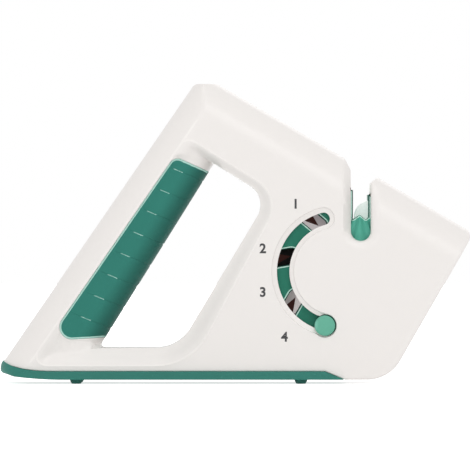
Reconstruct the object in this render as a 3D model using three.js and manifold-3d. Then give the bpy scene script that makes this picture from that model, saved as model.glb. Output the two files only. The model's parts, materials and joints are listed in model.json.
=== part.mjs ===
// Knife and scissor sharpener: a hand-held casing with a turning drum of four sharpening stations.
// Millimetres, +Z up, +X towards the nose, -Y towards the dial side. The origin is on the table
// below the middle of the body. The rest pose has the scissor station upright under the knife slot.
import * as THREE from "three";
import { mergeVertices } from "three/addons/utils/BufferGeometryUtils.js";
import Module from "manifold-3d";

const wasm = await Module();
wasm.setup();

const rad = (degrees) => (degrees * Math.PI) / 180;

// Overall form of the casing
const height = 127.4; // table to the flat top of the handle
const apex_width = 10.04; // flat top of the handle
const head_half_width = 23;
const wall = 2.5;
const handle_lean = rad(55.46); // outer edge of the handle, from the horizontal
const nose_lean = rad(60);
const heel_height = 9.2; // where the handle's outer edge meets the base plate
const nose_round = 3.6;
const apex_round = 3;
const belly_round = 23.4; // round under the nose
const top_round = 13; // long edges of the head's top
const edge_half_width = 9; // half thickness at the handle's outer edge
const edge_round_width = 14;
const edge_round_over = 1.2; // how far the round would rise past the side faces

// The casing is wrapped round the drum, with room on all its sides
const floor_room = 7.1;
const side_room = 5;
const top_room = 8;
const nose_room = 6.71;

// Clearances
const fit_gap = 0.3; // between pieces that sit on each other
const seam_gap = 0.2; // between the two shells
const run_gap = 0.15; // round the axle
const drum_gap = 0.8; // between the drum and the casing
const over = 2; // how far a cutter runs past what it cuts
const weld = 1e-4; // vertices nearer than this are one

// Finger hole, and the lowered region round it and the handle
const finger_room = 28.4; // palm side of the handle to the hole's other side
const web = 6.13; // hole to the drum
const top_bar = 30.75; // top edge of the head to the hole's upper corner
const hole_top_turn = rad(1.55); // hole's upper side, against the top edge
const hole_side_lean = rad(59);
const hole_floor = 15.2;
const hole_corner_round = 9.4;
const hole_heel_round = 17;
const rim_top = 3.2; // width of the rounded rim round the hole
const rim_side = 4.5;
const rim_side_lean = rad(61.7);
const rim_floor = 7.4;
const rim_drop = 7; // how far the rim falls from the side faces
const rim_start = rad(18); // slope of the rim where it leaves the side face
const ridge_margin = 9.8; // outer edge of the handle to the ridge
const ridge_round = 4;
const pocket_margin = 3; // ridge to the inside of the pocket behind the handle

// Handle bar and its rubber grip
const handle_width = 28.4;
const handle_half_width = 19.3;
const palm_lean = rad(58);
const palm_round = 10;
const palm_flat = 6; // half width of the flat on the palm side
const handle_spread_share = 0.29; // growth of the half width towards the ridge
const grip_start = 18.5; // heel to the lower end of the grip
const grip_end = 30.2; // upper end of the grip to the top of the handle
const grip_margin = 10.6; // outer edge of the handle to the edge of the grip
const grip_thickness = 2.2;
const grip_top_fall = rad(23.9);
const grip_foot_rise = rad(3);
const grip_top_round = 3.8;
const grip_foot_round = 5.2;

// Base plate and feet
const foot_height = 1.8;
const base_thickness = 3.6;
const base_overhang = 1.2; // how far the base plate stands out from the casing
const ramp_back = 5.4; // drum's centre back to where the plate's right end starts to fall
const base_ramp_length = 8.5;
const curl_length = 25.5; // the left end curls up over this length
const curl_power = 3;
const tip_thickness_share = 1.3; // thickness of the curled tip, of the plate's
const foot_radius = 2.75;
const foot_stem_radius = 1.7;
const foot_stem_height = 2.2;
const foot_left_inset = 32.5; // from the plate's tip
const foot_right_inset = 10.2; // from the start of the ramp
const foot_half_spread = 17;

// Drum and its axle
const drum_radius = 35.2;
const drum_cheek = 2;
const drum_rim = 1.5;
const hub_radius = 5.2;
const axle_radius = 2.5;
const boss_radius = 5;
const well_gap = 0.6; // round the casing's boss in the drum's well
const well_depth = 3.4;
const washer_thickness = 0.6;
const station_pitch = rad(50);
const station_count = 4;

// Stations: a channel beside the drum's radius, with two crossed plates
const channel_offset = 9.8; // drum centre to the channel's middle
const channel_half_width = 3.3;
const channel_wall = 1.5;
const channel_depth = 20.2; // drum's rim to the channel's bottom
const vee_depth = 15.7; // drum's rim to the bottom of the V
const vee_half_angle = rad(20);
const plate_width = 5;
const plate_thickness = 3;
const plate_above = 6.9;
const plate_below = 6;

// Scissor station: a guide with an M-shaped edge and a round stone beside it
const guide_depth = 4.2;
const valley_depth = 13.2; // drum's rim to the lowest points of the edge
const guide_rise = 2.2; // valleys of the M to its peak
const guide_shares = [
  [-1, 0.05],
  [-0.1, 1],
  [0.66, 0],
  [1, 0.5],
];
const stone_radius = 7;
const stone_bore = 1.3;
const stone_offset = 4.8; // channel middle to the stone's axis
const stone_depth = 13.2; // drum's rim to the stone's axis
const stone_half_length = 6;
const pin_radius = 1;
const socket_wall = 1.2;
const socket_depth = 3;

// Knife slot in the top of the casing
const knife_half_width = 4.2;
const knife_depth = 22.2; // drum's rim to the bottom of the slot
const knife_bevel = 3;
const lip_left_width = 2.5;
const lip_left_drop = 5.1;
const lip_right_width = 3.2;
const lip_right_drop = 2.6;

// Curved slot, the shallow track round it, and the knob
const dial_inset = 12.05; // drum's rim to the middle of the curved slot
const dial_half_width = 2.65;
const dial_past = rad(1.5); // curved slot beyond the knob's last stop
const track_half_width = 4.75;
const track_offset = 0.2; // middle of the slot to the middle of the track
const track_depth = 1;
const dial_start = rad(256.5); // knob at rest
const knob_radius = 4.35;
const knob_offset = 0.45; // middle of the slot to the knob's path
const knob_room = 0.7; // round the knob where the track ends
const knob_round = 0.9;
const knob_peg_radius = 1.5;

// Leaf spring that clicks into the drum
const spring_angle = rad(300);
const spring_half_length = 10;
const spring_thickness = 0.5;
const spring_width = 6;
const spring_start = 8; // mid-plane to the spring's near edge
const notch_radius = 1.6;
const notch_centre = 0.7; // outside the drum's rim
const click_depth = 1.5;
const click_half_width = 2;
const spring_lift = 0.9; // rim to the leaf
const keeper_length = 3;
const keeper_wall = 1.2;
const keeper_height = 3;

// Screws
const screw_radius = 1.3;
const screw_head_radius = 2.8;
const screw_head_height = 2;
const screw_length = 14;
const screw_wall = 1.5;
const screw_inset = 12; // corner screws, from each of the two edges beside them
const heel_screw_rise = 7.6; // above the casing's floor
const heel_screw_inset = 8.5; // from the handle's outer edge
const shoulder_angle = rad(112); // screw above the drum, seen from the drum's centre
const casing_seat = 6; // mid-plane to the seat of a casing screw
const base_screw_radius = 1.1;
const base_head_radius = 2.6;
const base_head_height = 1.4;
const base_screw_length = 8;
const base_screw_half_spread = 12.5;
const base_screw_left_inset = 19.5; // from the feet
const base_screw_right_inset = 11.9;
const lower_screw_gap = 8.3; // drum to the screw behind it
const drum_screw_length = 10;
const drum_seat = 4; // far cheek to the seat of a drum screw
const drum_boss_radius = 3;
const drum_head_radius = 2.4;
const drum_head_height = 1.8;

// Steps round curves
const corner_steps = 5;
const belly_steps = 8;
const rim_steps = 4;
const section_steps = 5;
const bore_sides = 10;
const boss_sides = 14;
const drum_sides = 48;
const dial_steps = 18;

// Points and directions in the side view, x along the object and z up
const point = (x, z) => new THREE.Vector2(x, z);
const heading = (angle) => point(Math.cos(angle), Math.sin(angle));
const along = (from, angle, distance) => heading(angle).multiplyScalar(distance).add(from);

// Where the line through a at one angle meets the line through b at another
function meet(a, angle_a, b, angle_b) {
  const u = heading(angle_a);
  const v = heading(angle_b);
  const gap = b.clone().sub(a);
  return a.clone().addScaledVector(u, gap.cross(v) / u.cross(v));
}

// A closed outline from corners [point, radius], anticlockwise seen from the dial side
function roundedOutline(corners, steps = corner_steps) {
  const points = [];
  corners.forEach(([at, radius], i) => {
    const before = corners[(i + corners.length - 1) % corners.length][0].clone().sub(at);
    const after = corners[(i + 1) % corners.length][0].clone().sub(at);
    const shorter = Math.min(before.length(), after.length());
    before.normalize();
    after.normalize();
    const half = Math.acos(THREE.MathUtils.clamp(before.dot(after), -1, 1)) / 2;
    const round = Math.min(radius, (shorter / 2) * Math.tan(half));
    if (round <= 0) {
      points.push(at.clone());
      return;
    }
    const inward = before.clone().add(after).normalize();
    const centre = at.clone().addScaledVector(inward, round / Math.sin(half));
    const first = at.clone().addScaledVector(before, round / Math.tan(half)).sub(centre);
    const last = at.clone().addScaledVector(after, round / Math.tan(half)).sub(centre);
    const sweep = Math.atan2(first.cross(last), first.dot(last));
    for (let k = 0; k <= steps; k++) {
      const turned = first.clone().rotateAround(point(0, 0), (sweep * k) / steps);
      points.push(turned.add(centre));
    }
  });
  return points;
}

// The same corners with every side moved outwards by a distance, or inwards if it is negative
function offsetCorners(corners, distance) {
  return corners.map(([at, radius], i) => {
    const before = corners[(i + corners.length - 1) % corners.length][0];
    const after = corners[(i + 1) % corners.length][0];
    const come = at.clone().sub(before);
    const go = after.clone().sub(at);
    const moved = (side) => along(at, side.angle() - Math.PI / 2, distance);
    const turn = come.cross(go) > 0 ? 1 : -1;
    const corner = meet(moved(come), come.angle(), moved(go), go.angle());
    return [corner, radius > 0 ? Math.max(radius + turn * distance, radius / 10) : 0];
  });
}

// Solids from three.js geometry, and back
function solid(geometry) {
  const bare = new THREE.BufferGeometry();
  const flat = geometry.index ? geometry.toNonIndexed() : geometry;
  bare.setAttribute("position", flat.getAttribute("position"));
  const merged = mergeVertices(bare, weld);
  const kept = [];
  for (let i = 0; i < merged.index.count; i += 3) {
    const [a, b, c] = [0, 1, 2].map((k) => merged.index.getX(i + k));
    if (a !== b && b !== c && c !== a) kept.push(a, b, c);
  }
  const vertProperties = new Float32Array(merged.attributes.position.array);
  const triVerts = new Uint32Array(kept);
  return new wasm.Manifold(new wasm.Mesh({ numProp: 3, vertProperties, triVerts }));
}

function geometryOf(shape) {
  const mesh = shape.getMesh();
  const geometry = new THREE.BufferGeometry();
  geometry.setAttribute("position", new THREE.BufferAttribute(new Float32Array(mesh.vertProperties), 3));
  geometry.setIndex(new THREE.BufferAttribute(new Uint32Array(mesh.triVerts), 1));
  const faceted = geometry.toNonIndexed();
  faceted.computeVertexNormals();
  return faceted;
}

// A prism across the object, from one y to another
function across(points, from, to) {
  const geometry = new THREE.ExtrudeGeometry(new THREE.Shape(points), {
    depth: to - from,
    bevelEnabled: false,
  });
  return geometry.rotateX(Math.PI / 2).translate(0, to, 0);
}

// A prism along a line of the side view. The section's first coordinate is the distance from the
// line on its inner side, and the second is y.
function alongLine(section, through, angle) {
  const inner = heading(angle - Math.PI / 2);
  const reach = length + height;
  const geometry = new THREE.ExtrudeGeometry(new THREE.Shape(section), {
    depth: 2 * reach,
    bevelEnabled: false,
  });
  const start = along(through, angle, -reach);
  const basis = new THREE.Matrix4().makeBasis(
    new THREE.Vector3(inner.x, 0, inner.y),
    new THREE.Vector3(0, 1, 0),
    new THREE.Vector3(Math.cos(angle), 0, Math.sin(angle)),
  );
  return geometry.applyMatrix4(basis).translate(start.x, 0, start.y);
}

// A closed solid through outlines of equal point count at rising y
function loft(rings) {
  const count = rings[0].points.length;
  const positions = rings.flatMap(({ y, points }) => points.flatMap((p) => [p.x, y, p.y]));
  const index = [];
  const cap = THREE.ShapeUtils.triangulateShape(rings[0].points.map((p) => p.clone()), []);
  const top = (rings.length - 1) * count;
  cap.forEach(([a, b, c]) => index.push(a, b, c, top + a, top + c, top + b));
  for (let k = 0; k + 1 < rings.length; k++) {
    for (let i = 0; i < count; i++) {
      const a = k * count + i;
      const b = k * count + ((i + 1) % count);
      index.push(a, a + count, b, b, a + count, b + count);
    }
  }
  const geometry = new THREE.BufferGeometry();
  geometry.setAttribute("position", new THREE.Float32BufferAttribute(positions, 3));
  geometry.setIndex(index);
  return geometry;
}

// A round bar across the object
function barAcross(radius, from, to, x, z, sides = boss_sides) {
  const bar = new THREE.CylinderGeometry(radius, radius, to - from, sides);
  return bar.translate(x, (from + to) / 2, z);
}

function upright(radius, from, to, x, y, sides = boss_sides) {
  const bar = new THREE.CylinderGeometry(radius, radius, to - from, sides);
  return bar.rotateX(Math.PI / 2).translate(x, y, (from + to) / 2);
}

// A body turned about y from a profile of [radius, y]
function turned(profile, sides = boss_sides) {
  const points = profile.map(([radius, y]) => point(radius, y));
  return new THREE.LatheGeometry(points, sides);
}

// Main points of the side view, for a given place of the plate's left tip
const casing_floor = foot_height + base_thickness;
const grip_length = (height - heel_height) / Math.sin(handle_lean) - grip_start - grip_end;

function mainPoints(tip) {
  const heel = point(tip + base_overhang, heel_height);
  const apex_left = meet(heel, handle_lean, point(0, height), 0);
  const apex_right = point(apex_left.x + apex_width, height);
  const handle_middle = along(heel, handle_lean, grip_start + grip_length / 2);
  const palm = along(handle_middle, handle_lean - Math.PI / 2, handle_width);
  const hole_side = along(palm, hole_side_lean - Math.PI / 2, finger_room);
  const drum_side = along(hole_side, hole_side_lean - Math.PI / 2, web + drum_radius);
  const drum_level = point(0, casing_floor + floor_room + drum_radius);
  const centre = meet(drum_side, hole_side_lean, drum_level, 0);
  const to_drum = centre.clone().sub(apex_right);
  const turn = Math.asin((drum_radius + top_room) / to_drum.length());
  const top_fall = Math.atan2(-to_drum.y, to_drum.x) - turn;
  const nose_line = along(centre, nose_lean - Math.PI / 2, drum_radius + nose_room);
  const nose = meet(nose_line, nose_lean, apex_right, -top_fall);
  const belly = meet(nose_line, nose_lean, point(0, foot_height), 0);
  const below_top = along(apex_right, -Math.PI / 2 - top_fall, top_bar);
  const hole_corner = meet(hole_side, hole_side_lean, below_top, -top_fall);
  const nose_tip = nose.x - nose_round * (Math.cos(top_fall) + Math.cos(nose_lean) - 1);
  return { heel, apex_left, apex_right, palm, centre, top_fall, nose, belly, hole_corner, nose_tip };
}

// The origin is below the middle of the length
const length = mainPoints(0).nose_tip;
const left_x = -length / 2;
const main_points = mainPoints(left_x);
const { heel, apex_left, apex_right, palm, top_fall, nose, belly, hole_corner } = main_points;
const { x: drum_x, y: drum_z } = main_points.centre;
const hole_top_fall = top_fall + hole_top_turn;
const knife_x = drum_x + channel_offset;
const knife_bottom = drum_z + drum_radius - knife_depth;
const dial_radius = drum_radius - dial_inset;
const knob_path = dial_radius + knob_offset;
const drum_half_width = head_half_width - side_room;
const channel_bottom = drum_radius - channel_depth; // heights above the drum's centre
const vee_height = drum_radius - vee_depth;
const guide_valley = drum_radius - valley_depth;
const stone_height = drum_radius - stone_depth;
const base_ramp_x = drum_x - ramp_back;
const foot_left_x = left_x + foot_left_inset;
const foot_right_x = base_ramp_x - foot_right_inset;
const base_screw_left_x = foot_left_x + base_screw_left_inset;
const base_screw_right_x = foot_right_x - base_screw_right_inset;
const curl_rise = (heel_height - casing_floor) / (1 - base_overhang / curl_length) ** curl_power;

// The underside at the left end, rising in a curve towards the tip
const curl_shares = [0.06, 0.2, 0.38, 0.6, 0.82, 1];

function curlPoint(share, floor, rise) {
  return point(left_x + share * curl_length, floor + rise * (1 - share) ** curl_power);
}

function casingCorners() {
  const ramp_end = point(base_ramp_x + base_ramp_length, foot_height);
  return [
    [heel, 0],
    ...curl_shares.slice(1).map((share) => [curlPoint(share, casing_floor, curl_rise), 0]),
    [point(base_ramp_x, casing_floor), 0],
    [ramp_end, 0],
    [belly, belly_round],
    [nose, nose_round],
    [apex_right, apex_round],
    [apex_left, apex_round],
  ];
}

// Half thickness at a distance from the handle's outer edge
function edgeHalf(distance) {
  const share = Math.min(distance / edge_round_width, 1);
  const rise = head_half_width + edge_round_over - edge_half_width;
  return edge_half_width + rise * Math.sqrt(1 - (1 - share) ** 2);
}

// A section that is symmetric in y, from a list of [distance, half thickness]
function mirrored(halves) {
  const low = halves.map(([distance, half]) => point(distance, -half));
  const high = halves.map(([distance, half]) => point(distance, half)).reverse();
  return [...low, ...high];
}

function edgePrism(inset) {
  const halves = [];
  for (let k = 0; k <= section_steps; k++) {
    const distance = (edge_round_width * k * k) / section_steps ** 2;
    halves.push([inset + distance, edgeHalf(distance) - inset]);
  }
  halves.push([2 * length, edgeHalf(edge_round_width) - inset]);
  return solid(alongLine(mirrored(halves), heel, handle_lean));
}

function topPrism(inset) {
  const halves = [];
  const round = top_round - inset;
  for (let k = 0; k <= section_steps; k++) {
    const turn = ((Math.PI / 2) * k) / section_steps;
    const half = head_half_width - top_round + round * Math.sin(turn);
    halves.push([inset + round * (1 - Math.cos(turn)), half]);
  }
  halves.push([2 * length, head_half_width - inset]);
  return solid(alongLine(mirrored(halves), nose, -top_fall));
}

// The casing's block before its pocket and holes, or the same with every face moved in
function slab(inset) {
  const outline = roundedOutline(offsetCorners(casingCorners(), -inset), belly_steps);
  const half = head_half_width - inset;
  return solid(across(outline, -half, half)).intersect(edgePrism(inset)).intersect(topPrism(inset));
}

// The pocket: a ridge loop on the side faces falls to the hole's own outline
function ridgeCorners() {
  const top = along(hole_corner, Math.PI / 2 - hole_top_fall, rim_top);
  const side = along(hole_corner, hole_side_lean - Math.PI / 2, rim_side);
  const left = along(heel, handle_lean - Math.PI / 2, ridge_margin);
  const floor = point(0, hole_floor - rim_floor);
  return [
    [meet(left, handle_lean, floor, 0), ridge_round],
    [meet(floor, 0, side, rim_side_lean), hole_heel_round + rim_floor],
    [meet(side, rim_side_lean, top, -hole_top_fall), hole_corner_round + rim_top],
    [meet(top, -hole_top_fall, left, handle_lean), ridge_round],
  ];
}

function holeCorners() {
  const left = along(heel, handle_lean - Math.PI / 2, ridge_margin + pocket_margin);
  const floor = point(0, hole_floor);
  return [
    [meet(left, handle_lean, floor, 0), ridge_round],
    [meet(floor, 0, hole_corner, hole_side_lean), hole_heel_round],
    [hole_corner, hole_corner_round],
    [meet(hole_corner, -hole_top_fall, left, handle_lean), ridge_round],
  ];
}

function pocket(grow) {
  const ridge = roundedOutline(offsetCorners(ridgeCorners(), grow));
  const hole = roundedOutline(offsetCorners(holeCorners(), grow));
  const near = [{ y: -head_half_width - over, points: ridge }];
  for (let k = 0; k <= rim_steps; k++) {
    const turn = rim_start + ((Math.PI / 2 - rim_start) * k) / rim_steps;
    const inward = (Math.sin(turn) - Math.sin(rim_start)) / (1 - Math.sin(rim_start));
    const drop = 1 - Math.cos(turn) / Math.cos(rim_start);
    near.push({
      y: grow - head_half_width + rim_drop * drop,
      points: ridge.map((p, i) => p.clone().lerp(hole[i], inward)),
    });
  }
  const far = near.map(({ y, points }) => ({ y: -y, points })).reverse();
  return solid(loft([...near, ...far]));
}

// The handle bar, from its palm side outwards
function handleBar(inset) {
  const halves = [];
  for (let k = 0; k <= section_steps; k++) {
    const turn = ((Math.PI / 2) * k) / section_steps;
    const distance = inset + (palm_round - inset) * (1 - Math.cos(turn));
    const rise = (handle_half_width - palm_flat - inset) * Math.sin(turn);
    halves.push([distance, palm_flat + rise]);
  }
  const spread = handle_spread_share * (handle_width - palm_round);
  halves.push([handle_width, handle_half_width - inset + spread]);
  const section = mirrored(halves).map((p) => point(-p.x, p.y));
  return solid(alongLine(section, palm, palm_lean));
}

function gripOutline(grow) {
  const low = along(along(heel, handle_lean, grip_start), handle_lean - Math.PI / 2, grip_margin);
  const high = along(low, handle_lean, grip_length);
  const corners = [
    [low, grip_foot_round],
    [along(low, grip_foot_rise, 2 * handle_width), 0],
    [along(high, -grip_top_fall, 2 * handle_width), 0],
    [high, grip_top_round],
  ];
  return roundedOutline(offsetCorners(corners, grow));
}

// Knife slot: a round-bottomed slot with two lips at the top, and a bevel on the side faces
function knifeOutline(grow) {
  const half = knife_half_width + grow;
  const left_top = meet(nose, -top_fall, point(knife_x - half - lip_left_width, 0), Math.PI / 2);
  const right_top = meet(nose, -top_fall, point(knife_x + half + lip_right_width, 0), Math.PI / 2);
  const left = point(knife_x - half, left_top.y - lip_left_drop);
  const right = point(knife_x + half, right_top.y - lip_right_drop);
  const points = [];
  const centre = point(knife_x, knife_bottom + knife_half_width);
  for (let k = 0; k <= belly_steps; k++) {
    points.push(along(centre, Math.PI + (Math.PI * k) / belly_steps, half));
  }
  const roof = height + over;
  return [...points, right, right_top, point(right_top.x, roof), point(left_top.x, roof), left_top, left];
}

function knifeCutter() {
  const near = [{ y: -head_half_width - over, points: knifeOutline(knife_bevel) }];
  for (let k = 0; k <= rim_steps; k++) {
    const turn = ((Math.PI / 2) * k) / rim_steps;
    near.push({
      y: -head_half_width + knife_bevel * (1 - Math.cos(turn)),
      points: knifeOutline(knife_bevel * (1 - Math.sin(turn))),
    });
  }
  const far = near.map(({ y, points }) => ({ y: -y, points })).reverse();
  return solid(loft([...near, ...far]));
}

// A slot along an arc about the drum's centre, with round ends
function arcSlot(radius, half_width, from, to) {
  const centre = point(drum_x, drum_z);
  const points = [];
  for (let k = 0; k <= dial_steps; k++) {
    points.push(along(centre, from + ((to - from) * k) / dial_steps, radius + half_width));
  }
  const tip = along(centre, to, radius);
  for (let k = 1; k < corner_steps; k++) {
    points.push(along(tip, to + (Math.PI * k) / corner_steps, half_width));
  }
  for (let k = dial_steps; k >= 0; k--) {
    points.push(along(centre, from + ((to - from) * k) / dial_steps, radius - half_width));
  }
  const root = along(centre, from, radius);
  for (let k = 1; k < corner_steps; k++) {
    points.push(along(root, from + Math.PI + (Math.PI * k) / corner_steps, half_width));
  }
  return points;
}

// Places of the casing screws in the side view
function casingScrewPlaces() {
  const below_top = along(nose, -Math.PI / 2 - top_fall, screw_inset);
  const behind_nose = along(nose, nose_lean + Math.PI / 2, screw_inset);
  const inside_handle = along(heel, handle_lean - Math.PI / 2, screw_inset);
  const inside_heel = along(heel, handle_lean - Math.PI / 2, heel_screw_inset);
  return [
    meet(inside_handle, handle_lean, below_top, -top_fall),
    meet(point(drum_x, drum_z), shoulder_angle, below_top, -top_fall),
    meet(behind_nose, nose_lean, below_top, -top_fall),
    point(drum_x - drum_radius - lower_screw_gap, casing_floor + screw_inset),
    meet(inside_heel, handle_lean, point(0, casing_floor + heel_screw_rise), 0),
  ];
}

function baseScrewPlaces() {
  return [base_screw_left_x, base_screw_right_x].flatMap((x) =>
    [-base_screw_half_spread, base_screw_half_spread].map((y) => ({ x, y })),
  );
}

// The room that the drum turns in, with the well round the casing's boss left out
function drumRoom() {
  const radius = drum_radius + drum_gap;
  const half = drum_half_width + drum_gap / 2;
  const inner = boss_radius + well_gap / 2;
  const well = drum_half_width - well_depth;
  const profile = [
    [0, -well],
    [inner, -well],
    [inner, -half],
    [radius, -half],
    [radius, half],
    [inner, half],
    [inner, well],
    [0, well],
  ];
  return solid(turned(profile, drum_sides).translate(drum_x, 0, drum_z));
}

// What the two shells share before they are parted
function casingBlock() {
  const bar = handleBar(0).intersect(slab(0));
  const outer = slab(0).subtract(pocket(0)).add(bar);
  const inside = slab(wall);
  const hollow_bar = handleBar(grip_thickness + fit_gap + wall).intersect(inside);
  const shell = outer.subtract(inside.subtract(pocket(wall)).add(hollow_bar));
  const half = head_half_width - wall / 2;
  const knife_walls = solid(across(knifeOutline(wall), -head_half_width, head_half_width));
  let block = shell.add(knife_walls.intersect(slab(0)));
  for (const { x, y: z } of casingScrewPlaces()) {
    const far_boss = barAcross(screw_head_radius + fit_gap + screw_wall, 0, half, x, z);
    const near_boss = barAcross(screw_radius + fit_gap + screw_wall, -half, 0, x, z);
    block = block.add(solid(far_boss).add(solid(near_boss)).intersect(slab(wall / 2)));
  }
  for (const { x, y } of baseScrewPlaces()) {
    const radius = base_screw_radius + fit_gap + screw_wall;
    const top = base_screw_top + screw_wall;
    block = block.add(solid(upright(radius, casing_floor + wall / 2, top, x, y)));
  }
  block = block.subtract(drumRoom()).subtract(knifeCutter());
  const boss_end = hub_face + washer_thickness + 2 * run_gap;
  for (const side of [-1, 1]) {
    const [from, to] = side < 0 ? [-half, -boss_end] : [boss_end, half];
    block = block.add(solid(barAcross(boss_radius, from, to, drum_x, drum_z)));
  }
  block = block.subtract(
    solid(barAcross(axle_radius + run_gap, -half, half, drum_x, drum_z, bore_sides)),
  );
  const recess = solid(across(gripOutline(fit_gap), -length, length)).intersect(handleBar(-over));
  block = block.subtract(recess.subtract(handleBar(grip_thickness + fit_gap)));
  for (const { x, y } of baseScrewPlaces()) {
    const bore = upright(base_screw_radius + run_gap, 0, base_screw_top + run_gap, x, y, bore_sides);
    block = block.subtract(solid(bore));
  }
  return block;
}

// Half of the space, on one side of the seam
function halfSpace(side) {
  const reach = length + height;
  const box = new THREE.BoxGeometry(2 * reach, reach, 2 * reach);
  return solid(box.translate(0, (side * (reach + seam_gap)) / 2, 0));
}

function nearCasing(block) {
  let shell = block.intersect(halfSpace(-1));
  const dial_end = dial_start - (station_count - 1) * station_pitch - dial_past;
  const slot = arcSlot(dial_radius, dial_half_width, dial_end, dial_start);
  const track = arcSlot(dial_radius + track_offset, track_half_width, dial_end, dial_start);
  const outside = -head_half_width - over;
  const track_floor = track_depth - head_half_width;
  const { x: knob_x, y: knob_z } = along(point(drum_x, drum_z), dial_start, knob_path);
  const room = barAcross(knob_radius + knob_room, outside, track_floor, knob_x, knob_z);
  shell = shell.subtract(solid(across(slot, outside, -drum_half_width)));
  shell = shell.subtract(solid(across(track, outside, track_floor))).subtract(solid(room));
  const depth = casing_seat - screw_length - screw_wall;
  for (const { x, y: z } of casingScrewPlaces()) {
    const bore = barAcross(screw_radius + run_gap, depth, over, x, z, bore_sides);
    shell = shell.subtract(solid(bore));
  }
  return shell;
}

// Turns a shape drawn above the drum to the spring's place on the casing
function springTurned(geometry) {
  return geometry.rotateY(Math.PI / 2 - spring_angle).translate(drum_x, 0, drum_z);
}

// Two keepers that hold the ends of the leaf spring
function keepers() {
  const low = drum_radius + drum_gap;
  const high = drum_radius + spring_lift + spring_thickness + keeper_height;
  const leaf = spring_thickness + 2 * fit_gap;
  const start = spring_start - keeper_wall;
  const reach = head_half_width - wall / 2;
  const room = spring_width + over;
  const [left, right] = [-1, 1].map((end) => {
    const middle = end * spring_half_length;
    const body = new THREE.BoxGeometry(keeper_length, reach - start, high - low);
    body.translate(middle, (reach + start) / 2, (high + low) / 2);
    const cut = new THREE.BoxGeometry(2 * keeper_length, room, leaf);
    const cut_end = spring_start + spring_width + fit_gap;
    cut.translate(middle, cut_end - room / 2, drum_radius + spring_lift + spring_thickness / 2);
    return solid(springTurned(body)).subtract(solid(springTurned(cut)));
  });
  return left.add(right);
}

function farCasing(block) {
  const holders = keepers().intersect(slab(wall / 2)).subtract(drumRoom());
  let shell = block.add(holders).intersect(halfSpace(1));
  for (const { x, y: z } of casingScrewPlaces()) {
    const outside = head_half_width + over;
    const recess = barAcross(screw_head_radius + fit_gap, casing_seat, outside, x, z);
    const bore = barAcross(screw_radius + fit_gap, -over, casing_seat + over, x, z, bore_sides);
    shell = shell.subtract(solid(recess)).subtract(solid(bore));
  }
  return shell;
}

// Rubber sleeve over the palm side of the handle
function gripSleeve() {
  const face = solid(across(gripOutline(0), -length, length));
  return handleBar(0).intersect(face).subtract(handleBar(grip_thickness));
}

// Base plate: the profile of the underside, cut to the casing's plan
function baseProfile() {
  const top = curl_shares.map((share) => curlPoint(share, casing_floor - fit_gap, curl_rise));
  const tip_thickness = base_thickness * tip_thickness_share;
  const low_rise = top[0].y - tip_thickness - foot_height;
  const bottom = curl_shares.map((share) => curlPoint(share, foot_height, low_rise));
  const ramp_end = base_ramp_x + base_ramp_length;
  const ramp_gap = fit_gap / Math.sin(Math.atan2(base_thickness, base_ramp_length));
  return [
    point(left_x, (top[0].y + bottom[0].y) / 2),
    ...bottom,
    point(ramp_end - ramp_gap, foot_height),
    point(base_ramp_x - fit_gap, casing_floor - fit_gap),
    ...top.reverse(),
  ];
}

function basePlan() {
  const halves = [];
  for (let k = 0; k <= section_steps; k++) {
    const distance = (ridge_margin * k) / section_steps;
    const x = left_x + distance / Math.sin(handle_lean);
    halves.push([x, Math.min(edgeHalf(distance), head_half_width) + base_overhang]);
  }
  halves.push([base_ramp_x + base_ramp_length, head_half_width + base_overhang]);
  return mirrored(halves);
}

function footPlaces() {
  return [foot_left_x, foot_right_x].flatMap((x) =>
    [-foot_half_spread, foot_half_spread].map((y) => ({ x, y })),
  );
}

const stem_top = foot_height + foot_stem_height;
const base_seat = foot_height + base_thickness / 2;
const base_screw_top = base_seat + base_screw_length;

function basePlate() {
  const half = head_half_width + base_overhang;
  const shape = new THREE.Shape(basePlan());
  const plan = new THREE.ExtrudeGeometry(shape, { depth: height, bevelEnabled: false });
  let plate = solid(across(baseProfile(), -half, half)).intersect(solid(plan));
  for (const { x, y } of footPlaces()) {
    const socket = upright(foot_stem_radius + fit_gap, 0, stem_top + fit_gap, x, y);
    plate = plate.subtract(solid(socket));
  }
  for (const { x, y } of baseScrewPlaces()) {
    const recess = upright(base_head_radius + fit_gap, 0, base_seat, x, y);
    const bore = upright(base_screw_radius + fit_gap, 0, height, x, y, bore_sides);
    plate = plate.subtract(solid(recess)).subtract(solid(bore));
  }
  return plate;
}

function footProfile() {
  const flange = foot_height - run_gap;
  return [
    [0, 0],
    [foot_radius - flange / 2, 0],
    [foot_radius - flange / 8, flange / 2],
    [foot_radius, flange],
    [foot_stem_radius, flange],
    [foot_stem_radius, stem_top],
    [0, stem_top],
  ];
}

// A pan-headed screw from its tip at -shank to its head, with the seat at zero
function screwProfile(radius, head_radius, head_height, shank) {
  return [
    [0, -shank],
    [radius / 2, -shank],
    [radius, radius - shank],
    [radius, 0],
    [head_radius, 0],
    [head_radius, head_height / 2],
    [head_radius - head_height / 2, head_height],
    [0, head_height],
  ];
}

const hub_face = drum_half_width - well_depth;
const well_radius = boss_radius + well_gap;
const drum_screw_seat = drum_half_width - drum_seat;
const knob_place = along(point(0, 0), dial_start, knob_path);

// Drum halves, in a frame at the drum's centre with the scissor station upright
function drumShell() {
  const inner = drum_radius - drum_rim;
  const floor = hub_face - drum_cheek;
  const seam = seam_gap / 2;
  const well_outer = well_radius + drum_cheek;
  const profile = [
    [axle_radius + run_gap, -seam],
    [axle_radius + run_gap, -hub_face],
    [well_radius, -hub_face],
    [well_radius, -drum_half_width],
    [drum_radius, -drum_half_width],
    [drum_radius, -seam],
    [inner, -seam],
    [inner, drum_cheek - drum_half_width],
    [well_outer, drum_cheek - drum_half_width],
    [well_outer, -floor],
    [hub_radius, -floor],
    [hub_radius, -seam],
  ];
  return solid(turned([...profile, profile[0]], drum_sides));
}

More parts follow.
